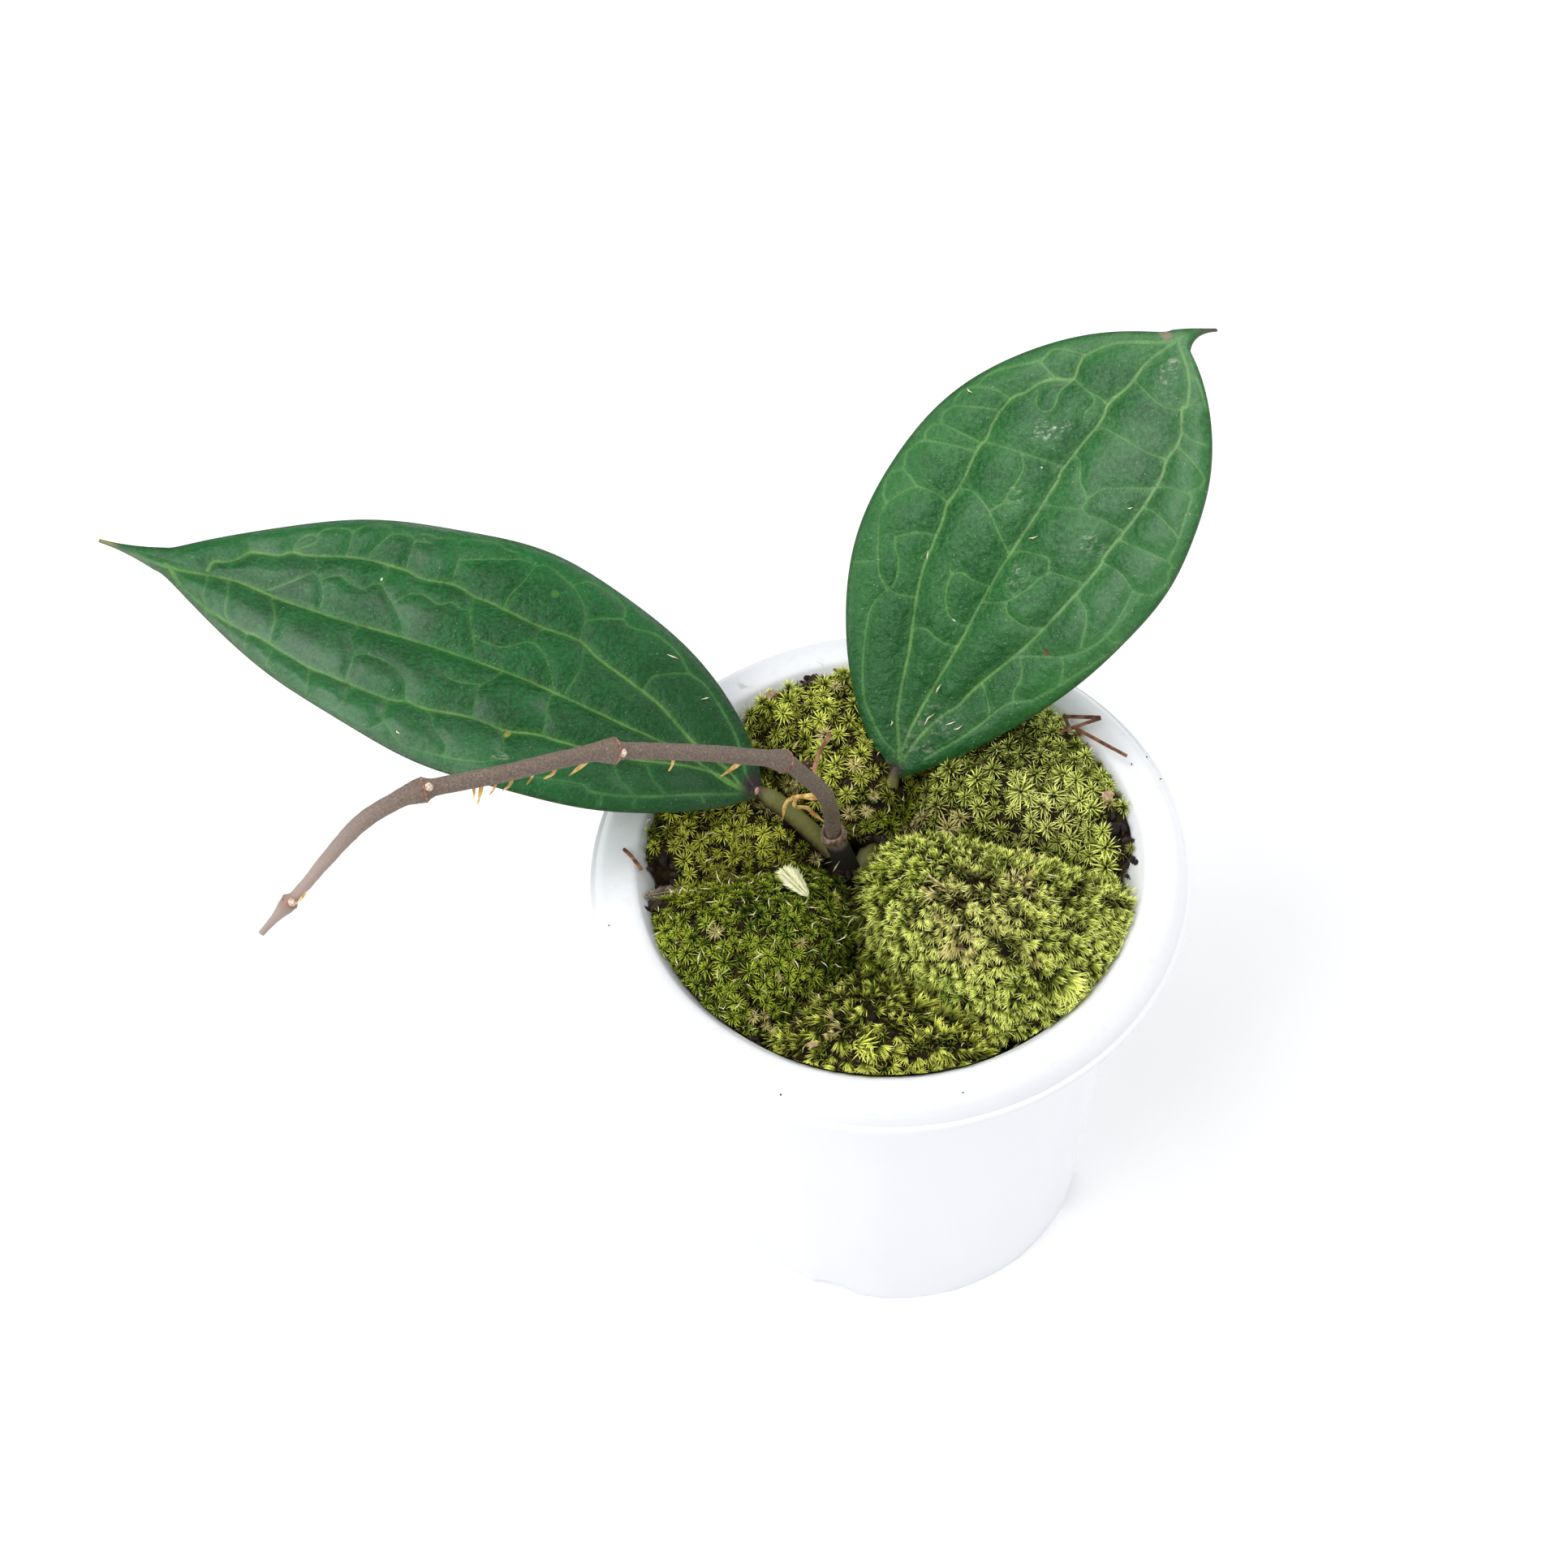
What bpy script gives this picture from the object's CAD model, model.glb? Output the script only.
import math

import bpy
import numpy as np
from mathutils import Matrix, Vector
from mathutils.kdtree import KDTree


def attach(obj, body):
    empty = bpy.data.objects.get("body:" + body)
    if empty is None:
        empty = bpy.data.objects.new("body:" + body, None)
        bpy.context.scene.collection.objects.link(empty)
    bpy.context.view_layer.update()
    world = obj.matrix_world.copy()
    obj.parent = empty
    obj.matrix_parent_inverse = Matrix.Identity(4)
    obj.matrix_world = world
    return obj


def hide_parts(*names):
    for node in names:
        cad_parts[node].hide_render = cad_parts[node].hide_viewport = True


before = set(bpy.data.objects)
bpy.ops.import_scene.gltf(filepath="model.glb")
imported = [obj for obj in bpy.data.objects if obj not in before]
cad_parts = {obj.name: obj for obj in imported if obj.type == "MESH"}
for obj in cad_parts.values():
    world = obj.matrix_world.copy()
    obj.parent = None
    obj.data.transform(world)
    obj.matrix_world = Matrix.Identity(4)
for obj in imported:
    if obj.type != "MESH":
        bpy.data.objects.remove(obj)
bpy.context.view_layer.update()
MM = 0.001
chance = np.random.default_rng(7)


# Pot
# A moulded pot of white plastic that stands on a foot ring with four notches. Its wall is pressed
# into sixteen shallow panels, and its lip is rolled outwards and ends in a small bead.

FOOT_RADIUS = 41.5
BODY_TOP_RADIUS = 49.5
BODY_TOP = 104
BODY_BULGE = 0.5
WALL = 1.3
MOUTH_RADIUS = 52
POT_HEIGHT = 112
FLOOR_UNDERSIDE = 2.4
FLOOR_TOP = 4
BEAD = 105.8
POT_TURNS = 192
PANELS = 16
PANEL_EDGE = -7.5
PANEL_DIP = 0.45
NOTCHES = 4
NOTCH_ANGLE = -23.5
NOTCH_SIZE = (10, 6, 7.2)
DRAIN_HOLES = 4
DRAIN_ANGLE = 45
DRAIN_CIRCLE = 26
DRAIN_RADIUS = 4.5
LIP_STAIN = (-28, 44.5, 108)


class Value:
    """A number that varies over a surface. Arithmetic on it adds Math nodes."""

    def __init__(self, finish, socket):
        self.finish = finish
        self.socket = socket

    def join(self, operation, *others):
        return self.finish.add("Math", {"operation": operation}, dict(enumerate(others)))

    def __add__(self, other):
        return self.join("ADD", self, other)

    def __radd__(self, other):
        return self.join("ADD", other, self)

    def __sub__(self, other):
        return self.join("SUBTRACT", self, other)

    def __rsub__(self, other):
        return self.join("SUBTRACT", other, self)

    def __mul__(self, other):
        return self.join("MULTIPLY", self, other)

    def __truediv__(self, other):
        return self.join("DIVIDE", self, other)

    def __pow__(self, other):
        return self.join("POWER", self, other)

    def smooth(self, low, high):
        """Runs from 0 at low to 1 at high. Low may be the larger one."""
        return self.finish.add(
            "MapRange", {"interpolation_type": "SMOOTHSTEP", "clamp": True},
            {"Value": self, "From Min": low, "From Max": high, "To Min": 0.0, "To Max": 1.0},
        )


class Finish:
    """A material and its Principled shader, with one method that adds every other node."""

    def __init__(self, name, colour, roughness):
        self.material = bpy.data.materials.new(name)
        self.material.use_nodes = True
        self.tree = self.material.node_tree
        self.surface = self.tree.nodes["Principled BSDF"]
        self.set("Base Color", colour)
        self.set("Roughness", roughness)
        self.place = self.add("TexCoord", {}, {}, "Object")

    def feed(self, socket, fed):
        if isinstance(fed, Value):
            self.tree.links.new(fed.socket, socket)
        elif isinstance(fed, (tuple, list)) and len(fed) == 3 and socket.type == "RGBA":
            socket.default_value = (*fed, 1)
        else:
            socket.default_value = fed

    def add(self, kind, settings, sockets, output=0):
        node = self.tree.nodes.new("ShaderNode" + kind)
        for name, setting in settings.items():
            setattr(node, name, setting)
        for name, fed in sockets.items():
            self.feed(node.inputs[name], fed)
        return Value(self, node.outputs[output])

    def set(self, name, fed):
        self.feed(self.surface.inputs[name], fed)

    def noise(self, size, detail=3.0, stretch=(1, 1, 1), roughness=0.5):
        """Soft blotches about as wide as size, in millimetres, and drawn out by stretch."""
        scale = tuple(1 / (s * size * MM) for s in stretch)
        where = self.add("Mapping", {}, {"Vector": self.place, "Scale": scale})
        return self.add(
            "TexNoise", {}, {"Vector": where, "Scale": 1.0, "Detail": detail, "Roughness": roughness},
        )

    def attribute(self, name):
        return self.add("Attribute", {"attribute_name": name}, {}, "Fac")

    def mix(self, factor, a, b):
        return self.add("Mix", {"data_type": "RGBA"}, {0: factor, 6: a, 7: b}, 2)

    def near(self, place, reach):
        """Runs from 1 at a place, in millimetres, to 0 at reach from it."""
        middle = tuple(c * MM for c in place)
        away = self.add("VectorMath", {"operation": "DISTANCE"}, {0: self.place, 1: middle}, "Value")
        return away.smooth(reach * MM, reach * 0.25 * MM)

    def bump(self, height, depth, under=None):
        """Raises the surface by height times depth, in millimetres."""
        sockets = {"Height": height, "Distance": depth * MM, "Strength": 1.0}
        if under:
            sockets["Normal"] = under
        return self.add("Bump", {}, sockets)


def ink(code):
    """The linear colour of a six-figure colour code."""
    parts = [int(code[i:i + 2], 16) / 255 for i in (0, 2, 4)]
    return tuple(c / 12.92 if c < 0.04045 else ((c + 0.055) / 1.055) ** 2.4 for c in parts)


def nothing_selected():
    if bpy.context.object and bpy.context.object.mode != "OBJECT":
        bpy.ops.object.mode_set(mode="OBJECT")
    bpy.ops.object.select_all(action="DESELECT")


def only(piece):
    nothing_selected()
    piece.select_set(True)
    bpy.context.view_layer.objects.active = piece


def mesh_piece(name, points, faces=(), edges=()):
    """A new object of points in millimetres."""
    data = bpy.data.meshes.new(name)
    data.from_pydata([Vector(p) * MM for p in points], list(edges), [list(f) for f in faces])
    piece = bpy.data.objects.new(name, data)
    bpy.context.collection.objects.link(piece)
    return piece


def points_of(piece):
    """The piece's points as an array, in millimetres."""
    found = np.empty(3 * len(piece.data.vertices))
    piece.data.vertices.foreach_get("co", found)
    return found.reshape(-1, 3) / MM


def move_points(piece, points):
    piece.data.vertices.foreach_set("co", (np.asarray(points) * MM).ravel())
    piece.data.update()


def settle(piece):
    """Puts the piece's place into its mesh and leaves its object at the origin."""
    only(piece)
    bpy.ops.object.transform_apply(location=True, rotation=True, scale=True)


def clean(piece, smooth_angle=None):
    """Merges doubles, turns the faces outwards and shades them."""
    only(piece)
    bpy.ops.object.mode_set(mode="EDIT")
    bpy.ops.mesh.select_all(action="SELECT")
    bpy.ops.mesh.remove_doubles(threshold=0.02 * MM)
    bpy.ops.mesh.normals_make_consistent(inside=False)
    bpy.ops.object.mode_set(mode="OBJECT")
    if smooth_angle is None:
        bpy.ops.object.shade_smooth()
    else:
        bpy.ops.object.shade_smooth_by_angle(angle=math.radians(smooth_angle))


def apply(piece, kind, **settings):
    """Adds a modifier, sets it up and applies it."""
    only(piece)
    modifier = piece.modifiers.new(kind.title(), kind)
    for name, setting in settings.items():
        setattr(modifier, name, setting)
    bpy.ops.object.modifier_apply(modifier=modifier.name)


def cut(piece, cutter):
    apply(piece, "BOOLEAN", object=cutter, operation="DIFFERENCE", solver="EXACT")
    bpy.data.objects.remove(cutter)


def dress(piece, finish, slot, *nodes):
    """Gives a finished piece its material and says what it stands for."""
    piece.data.materials.clear()
    piece.data.materials.append(finish.material)
    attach(piece, "root")
    if nodes:
        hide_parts(*nodes)


def curve_through(points, steps):
    """A smooth line through the points, with so many steps between two of them."""
    p = np.asarray(points, float)
    p = np.vstack([2 * p[0] - p[1], p, 2 * p[-1] - p[-2]])
    t = np.linspace(0, 1, steps, endpoint=False)[:, None]
    line = []
    for a, b, c, d in zip(p[:-3], p[1:-2], p[2:-1], p[3:]):
        square = (2 * a - 5 * b + 4 * c - d) * t**2
        cube = (3 * b - a - 3 * c + d) * t**3
        line.append(0.5 * (2 * b + (c - a) * t + square + cube))
    return np.vstack([*line, p[-2]])


def body_radius(z):
    t = z / BODY_TOP
    return FOOT_RADIUS + (BODY_TOP_RADIUS - FOOT_RADIUS) * t + BODY_BULGE * np.sin(np.pi * t)


def inside_radius(z):
    t = np.clip((z - BODY_TOP) / (POT_HEIGHT - BODY_TOP), 0, 1)
    return body_radius(np.minimum(z, BODY_TOP)) - WALL + (MOUTH_RADIUS - BODY_TOP_RADIUS + WALL) * t**1.5


underside = [(0, 0), (9, 0), (9.5, FLOOR_UNDERSIDE), (39.4, FLOOR_UNDERSIDE), (39.8, 0)]
wall_out = [(body_radius(z), z) for z in (0.6, *range(4, BODY_TOP - 2, 4), BODY_TOP)]
under_lip = curve_through([(50.6, 107.4), (51.9, 109.8), (55.6, 110.4), (58.4, 108.9), (60.1, BEAD + 0.3)], 5)
bead = curve_through([(61.2, BEAD), (62, BEAD + 0.7), (61.8, BEAD + 1.5), (60.9, BEAD + 1.9)], 5)
over_lip = curve_through([
    (60.3, 109.2), (58.8, 110.8), (56.4, 111.8), (53.8, POT_HEIGHT), (52.3, 111.7), (51.3, 110.7),
], 5)
levels = (109.5, 108, 106.5, 105, *range(BODY_TOP, FLOOR_TOP + 2, -6), FLOOR_TOP + 1)
wall_in = [(inside_radius(z), z) for z in levels]
bottom = [(inside_radius(FLOOR_TOP) - 1, FLOOR_TOP), (20, FLOOR_TOP), (0, FLOOR_TOP)]
profile = [*underside, (FOOT_RADIUS - 0.4, 0), *wall_out, *under_lip, *bead, *over_lip, *wall_in, *bottom]
outline = [(r, 0, z) for r, z in profile]

pot = mesh_piece("pot_body", outline, edges=[(i, i + 1) for i in range(len(outline) - 1)])
only(pot)
bpy.ops.object.mode_set(mode="EDIT")
bpy.ops.mesh.select_all(action="SELECT")
bpy.ops.mesh.spin(steps=POT_TURNS, angle=2 * math.pi, center=(0, 0, 0), axis=(0, 0, 1))
bpy.ops.object.mode_set(mode="OBJECT")
clean(pot)

shape = points_of(pot)
radius = np.hypot(shape[:, 0], shape[:, 1])
on_wall = abs(radius - body_radius(shape[:, 2])) < 0.01
on_wall &= (shape[:, 2] > 0.5) & (shape[:, 2] < BODY_TOP - 1)
turn = np.degrees(np.arctan2(shape[:, 0], -shape[:, 1])) - PANEL_EDGE
across = (turn * PANELS / 360) % 1
dip = np.where(on_wall, PANEL_DIP * np.sin(np.pi * across), 0)
shape[:, :2] *= (1 - dip / np.maximum(radius, 1))[:, None]
move_points(pot, shape)

for i in range(NOTCHES):
    angle = math.radians(NOTCH_ANGLE + 360 / NOTCHES * i)
    bpy.ops.mesh.primitive_cylinder_add(vertices=40, radius=0.5, depth=1)
    notch = bpy.context.object
    at_foot = Matrix.Rotation(angle, 4, "Z") @ Matrix.Translation((0, -FOOT_RADIUS * MM, 0))
    sized = Matrix.Diagonal((*(side * MM for side in NOTCH_SIZE), 1))
    notch.matrix_world = at_foot @ sized @ Matrix.Rotation(math.pi / 2, 4, "X")
    settle(notch)
    cut(pot, notch)

for i in range(DRAIN_HOLES):
    angle = math.radians(DRAIN_ANGLE + 360 / DRAIN_HOLES * i)
    bpy.ops.mesh.primitive_cylinder_add(
        vertices=32, radius=DRAIN_RADIUS * MM, depth=4 * MM,
        location=(DRAIN_CIRCLE * MM * math.cos(angle), DRAIN_CIRCLE * MM * math.sin(angle), 3.2 * MM),
    )
    hole = bpy.context.object
    settle(hole)
    cut(pot, hole)

only(pot)
bpy.ops.object.shade_smooth_by_angle(angle=math.radians(35))

white = Finish("white_plastic", ink("f1f2f6"), 0.4)
scuffs = white.noise(5, 6, stretch=(1, 1, 3)).smooth(0.5, 0.72)
on_lip = white.add("SeparateXYZ", {}, {0: white.place}, 2).smooth(108.5 * MM, 111.8 * MM)
grime = white.noise(2.5, 5).smooth(0.55, 0.7) * (on_lip * 0.06 + white.near(LIP_STAIN, 8) * 0.5)
white.set("Base Color", white.mix(grime, ink("f1f2f6"), ink("7d7c60")))
white.set("Roughness", 0.36 + scuffs * 0.2)
white.set("Normal", white.bump(white.noise(9, 2), 0.05))
dress(pot, white, "white_plastic", "pot")


# Growing mix
# Bark and peat that fill the pot. Only crumbs of it show, where the moss leaves gaps.

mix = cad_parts["growing_mix"].copy()
mix.data = mix.data.copy()
mix.name = "growing_mix_fill"
mix.parent = None
bpy.context.collection.objects.link(mix)
clean(mix, 40)
brown_mix = Finish("growing_mix", ink("2a1f17"), 0.95)
brown_mix.set("Base Color", brown_mix.mix(brown_mix.noise(2.2, 4), ink("15100c"), ink("4a3626")))
brown_mix.set("Normal", brown_mix.bump(brown_mix.noise(1.4, 5), 0.9))
dress(mix, brown_mix, "growing_mix", "growing_mix")


# Leaf blades
# Two stiff, fleshy blades, dark above and paler below. A midrib and two long nerves run from base to
# tip in furrows, loops and cross veins join them, and the blade swells up between the veins.

BLADE = 0.9
BASE_HALF_WIDTH = 1.8
TIP_HALF_WIDTH = 0.35
DRIP_HALF_WIDTH = 3.2
DRIP_TAPER = 1.7
MARGIN_WAVE = 0.6
MARGIN_WAVES = 3.5
CURL_START = 0.95
LEAF_ROWS = 270
LEAF_COLUMNS = 112
NERVE_SWELL = 1.3
NERVE_SWELL_REACH = 3.4
VEIN_SWELL = 0.5
VEIN_SWELL_REACH = 1.5
MARGIN_FLAT = 2.5
MARGIN_TAPER = 1.6
MARGIN_SHARE = 0.35

# How the photograph was taken: its size, the lens, and the place it looks at from so far away

PICTURE_PIXELS = 1932
FOCAL_PIXELS = 5000
VIEW_TILT = math.radians(54.5)
VIEW_ROLL = math.radians(-3.417)
VIEW_CENTRE = np.array([-20.73, 0, 141.02])
VIEW_DISTANCE = 808.71


class Leaf:
    """A blade as a formula: u runs from its base to its tip, and v from -1 to 1, right margin to left."""

    def __init__(self, route, roll, twist, fold, camber, body_end, left, right, curl):
        self.route = np.array(route, float)
        self.roll = roll
        self.twist = twist
        self.fold = math.radians(fold)
        self.camber = camber
        self.body_end = body_end
        self.sides = {1: left, -1: right}
        self.curl = np.array(curl, float)
        self.length = np.linalg.norm(np.diff(self.spine(np.linspace(0, 1, 60)), axis=0), axis=1).sum()

    def spine(self, u):
        a, b, c, d = self.route
        u = np.asarray(u)[..., None]
        line = (1 - u) ** 3 * a + 3 * (1 - u) ** 2 * u * b + 3 * (1 - u) * u**2 * c + u**3 * d
        return line + self.curl * np.clip((u - CURL_START) / (1 - CURL_START), 0, 1) ** 2

    def frame(self, u):
        a, b, c, d = self.route
        w = np.asarray(u)[..., None]
        along = (1 - w) ** 2 * (b - a) + 2 * (1 - w) * w * (c - b) + w**2 * (d - c)
        along /= np.linalg.norm(along, axis=-1, keepdims=True)
        level = np.cross([0, 0, 1], along)
        level /= np.linalg.norm(level, axis=-1, keepdims=True)
        roll = np.radians(self.roll + self.twist * (w - 0.5))
        left = level * np.cos(roll) + np.cross(along, level) * np.sin(roll)
        return left, np.cross(along, left)

    def half_width(self, u, v):
        half, rise, fall = (np.where(v < 0, r, l) for r, l in zip(self.sides[-1], self.sides[1]))
        q = np.clip(u / self.body_end, 0, 1)
        widest = rise / (rise + fall)
        body = half * q**rise * (1 - q) ** fall / (widest**rise * (1 - widest) ** fall)
        drip = np.clip((1 - u) / (1 - self.body_end), 0, 1) ** DRIP_TAPER
        foot = BASE_HALF_WIDTH + (DRIP_HALF_WIDTH - BASE_HALF_WIDTH) * u
        return np.hypot(body, TIP_HALF_WIDTH + (foot - TIP_HALF_WIDTH) * drip)

    def slender(self, u):
        return np.sqrt(np.sin(np.pi * np.clip(u / self.body_end, 0, 1)))

    def flat(self, u, v):
        """Where u, v lies on the blade laid flat, in millimetres."""
        return np.stack([u * self.length, v * self.half_width(u, v)], axis=-1)

    def point(self, u, v, above=0.0):
        u, v = np.asarray(u, float), np.asarray(v, float)
        left, face = self.frame(u)
        half = self.half_width(u, v)
        out = abs(v) * half
        wave = MARGIN_WAVE * self.slender(u) * v * v * np.sin(2 * np.pi * MARGIN_WAVES * u + v)
        rise = out * math.sin(self.fold) - self.camber * half * v * v + wave + above
        aside = np.sign(v) * out * math.cos(self.fold)
        return self.spine(u) + left * aside[..., None] + face * rise[..., None]


level_right = np.array([1, 0, 0])
level_up = np.array([0, math.sin(VIEW_TILT), math.cos(VIEW_TILT)])
view_back = np.array([0, -math.cos(VIEW_TILT), math.sin(VIEW_TILT)])
view_right = math.cos(VIEW_ROLL) * level_right + math.sin(VIEW_ROLL) * level_up
view_up = math.cos(VIEW_ROLL) * level_up - math.sin(VIEW_ROLL) * level_right


def in_picture(places):
    """The pixels at which places, in millimetres, show in the photograph."""
    seen = places - VIEW_CENTRE - VIEW_DISTANCE * view_back
    scale = -FOCAL_PIXELS / (seen @ view_back)
    return PICTURE_PIXELS / 2 + np.stack([scale * (seen @ view_right), -scale * (seen @ view_up)], axis=-1)


def lay_on(leaf, lines):
    """Lays lines of pixels on the blade that shows there. They come back as lines of u, v."""
    u, v = (grid.ravel() for grid in np.meshgrid(np.linspace(0, 1, 501), np.linspace(-0.99, 0.99, 199)))
    seen = in_picture(leaf.point(u, v, 1.0))
    laid = []
    for line in lines:
        nearest = [np.argmin(((seen - pixel) ** 2).sum(axis=1)) for pixel in line]
        laid.append(np.stack([u[nearest], v[nearest]], axis=1))
    return laid


def veins_apart(leaf, spots, lines, steps=5):
    """How far each spot on the flattened blade lies from the nearest of the veins, in millimetres."""
    apart = np.full(len(spots), 99.0)
    for line in lines:
        smooth = curve_through(line, steps)
        path = leaf.flat(np.clip(smooth[:, 0], 0, 1), np.clip(smooth[:, 1], -1, 1))
        for a, b in zip(path[:-1], path[1:]):
            step = b - a
            t = np.clip((spots - a) @ step / max(step @ step, 1e-9), 0, 1)
            away = spots - a - t[:, None] * step
            apart = np.minimum(apart, np.hypot(away[:, 0], away[:, 1]))
    return apart


LEFT_LEAF = Leaf(
    route=[(-26, 15, 118), (-73, 37, 139), (-105, 47, 141), (-160, 69, 146)],
    roll=1, twist=-2, fold=7.5, camber=0.07, body_end=0.92,
    left=(29.5, 0.7, 0.87), right=(30.5, 0.68, 0.8), curl=(0, 0, 0),
)
RIGHT_LEAF = Leaf(
    route=[(2.2, 24.2, 108), (21, 49, 136.5), (41.5, 65.5, 167.5), (69.5, 79.5, 181.5)],
    roll=10, twist=0, fold=4, camber=0.08, body_end=0.945,
    left=(31.9, 0.79, 0.88), right=(32.9, 0.8, 0.57), curl=(3, 0.5, -3.1),
)

# Where the nerves and veins run, as pixels of the photograph picked by eye, from its left and top edges

LEFT_NERVES = [
    [(924, 974), (858, 936), (760, 888), (680, 851), (640, 833), (560, 805), (480, 779), (420, 762),
     (340, 735), (260, 708), (160, 680)],
    [(924, 974), (900, 950), (858, 916), (820, 874), (800, 856), (740, 812), (713, 788), (660, 768),
     (600, 739), (586, 734), (560, 719), (520, 711), (500, 702), (440, 686), (380, 683), (360, 679),
     (340, 682), (309, 679), (300, 684), (280, 690), (262, 690), (256, 702)],
    [(924, 974), (884, 953), (780, 934), (700, 915), (660, 903), (620, 898), (580, 883), (520, 870),
     (500, 862), (480, 861), (400, 829), (380, 821), (320, 784), (300, 776), (233, 732), (220, 719),
     (203, 693)],
]
LEFT_VEINS = [
    [(309, 679), (306, 664)],
    [(361, 679), (364, 670), (372, 663), (384, 660), (391, 662)],
    [(426, 684), (435, 660), (429, 654), (416, 652), (402, 654), (393, 660), (390, 667), (364, 675)],
    [(435, 660), (443, 653), (456, 648), (474, 648), (481, 653), (484, 660)],
    [(455, 680), (480, 662), (493, 661), (510, 669), (502, 691), (501, 701)],
    [(510, 669), (529, 672)],
    [(519, 661), (530, 662), (540, 666), (559, 666), (564, 673), (567, 684), (557, 716)],
    [(566, 692), (638, 692), (660, 699), (674, 701), (704, 724), (716, 746), (720, 766), (713, 788)],
    [(658, 699), (647, 718), (628, 735), (620, 746)],
    [(565, 672), (575, 668), (611, 670), (624, 680), (637, 684), (640, 691)],
    [(720, 766), (747, 764), (768, 766), (774, 773), (788, 778), (806, 782), (835, 807), (850, 831),
     (872, 850), (908, 914), (927, 966)],
    [(704, 724), (718, 720), (731, 720), (761, 739), (770, 754), (767, 765)],
    [(850, 831), (806, 834), (799, 839), (792, 850)],
    [(389, 684), (390, 696), (387, 706), (318, 727)],
    [(387, 706), (393, 714), (399, 733), (393, 748)],
    [(477, 697), (477, 706), (473, 716), (473, 726), (493, 765), (496, 778)],
    [(472, 722), (458, 722), (446, 727), (432, 722), (420, 712), (408, 712), (394, 717)],
    [(484, 747), (495, 739), (508, 734), (522, 736), (540, 748), (556, 745), (568, 752), (580, 752)],
    [(584, 735), (580, 766), (587, 813)],
    [(582, 780), (595, 792), (622, 799), (648, 793), (658, 796), (660, 784), (665, 777), (675, 774)],
    [(658, 796), (670, 809), (680, 833), (683, 848)],
    [(697, 852), (713, 830), (717, 818), (716, 809), (719, 797)],
    [(440, 769), (437, 780), (431, 789), (436, 807), (426, 838)],
    [(338, 735), (335, 741), (338, 766), (332, 784), (333, 792)],
    [(433, 812), (446, 808), (462, 812), (478, 820), (492, 831), (499, 842), (500, 861)],
    [(620, 827), (604, 841), (593, 846), (588, 852), (582, 883)],
    [(592, 846), (560, 842), (545, 832)],
    [(686, 854), (680, 856), (673, 873), (672, 896), (668, 905)],
    [(254, 709), (256, 716), (250, 734), (254, 744)],
    [(280, 715), (281, 728), (277, 752), (281, 762)],
    [(254, 747), (252, 757), (256, 766), (266, 776)],
    [(282, 766), (284, 780), (290, 792), (302, 803)],
    [(303, 777), (302, 803), (309, 814), (320, 819), (329, 816), (335, 800)],
    [(329, 817), (347, 844), (356, 853), (374, 854), (378, 848), (381, 822)],
    [(374, 854), (416, 876), (424, 887), (438, 895), (454, 897), (466, 894), (472, 889), (476, 860)],
    [(434, 842), (429, 857), (415, 875)],
    [(472, 889), (479, 900), (493, 914), (506, 921), (579, 940), (600, 940), (618, 934), (620, 899)],
    [(525, 872), (531, 884), (534, 898), (548, 920), (548, 931)],
    [(660, 959), (700, 964), (720, 969), (731, 976), (802, 981), (893, 978), (912, 976)],
    [(740, 978), (739, 991)],
    [(780, 980), (781, 993)],
    [(862, 978), (866, 986)],
    [(761, 960), (778, 978)],
    [(804, 962), (820, 979)],
    [(757, 945), (761, 960)],
    [(797, 945), (804, 962)],
]
RIGHT_NERVES = [
    [(1108, 938), (1112, 920), (1144, 856), (1180, 797), (1220, 721), (1267, 647), (1300, 595),
     (1308, 578), (1355, 519), (1361, 502), (1370, 492), (1393, 471), (1417, 442), (1455, 414)],
    [(1106, 935), (1105, 890), (1108, 856), (1120, 797), (1132, 715), (1146, 674), (1160, 642),
     (1165, 623), (1184, 595), (1205, 550), (1215, 540), (1224, 519), (1246, 490), (1262, 483),
     (1279, 472), (1298, 466), (1321, 466), (1329, 447), (1340, 436), (1389, 421), (1450, 416)],
    [(1112, 936), (1130, 911), (1166, 879), (1180, 870), (1200, 849), (1260, 799), (1320, 736),
     (1355, 697), (1362, 681), (1412, 619), (1431, 585), (1436, 566), (1453, 538), (1456, 504),
     (1462, 497), (1462, 454), (1453, 416)],
]
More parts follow.
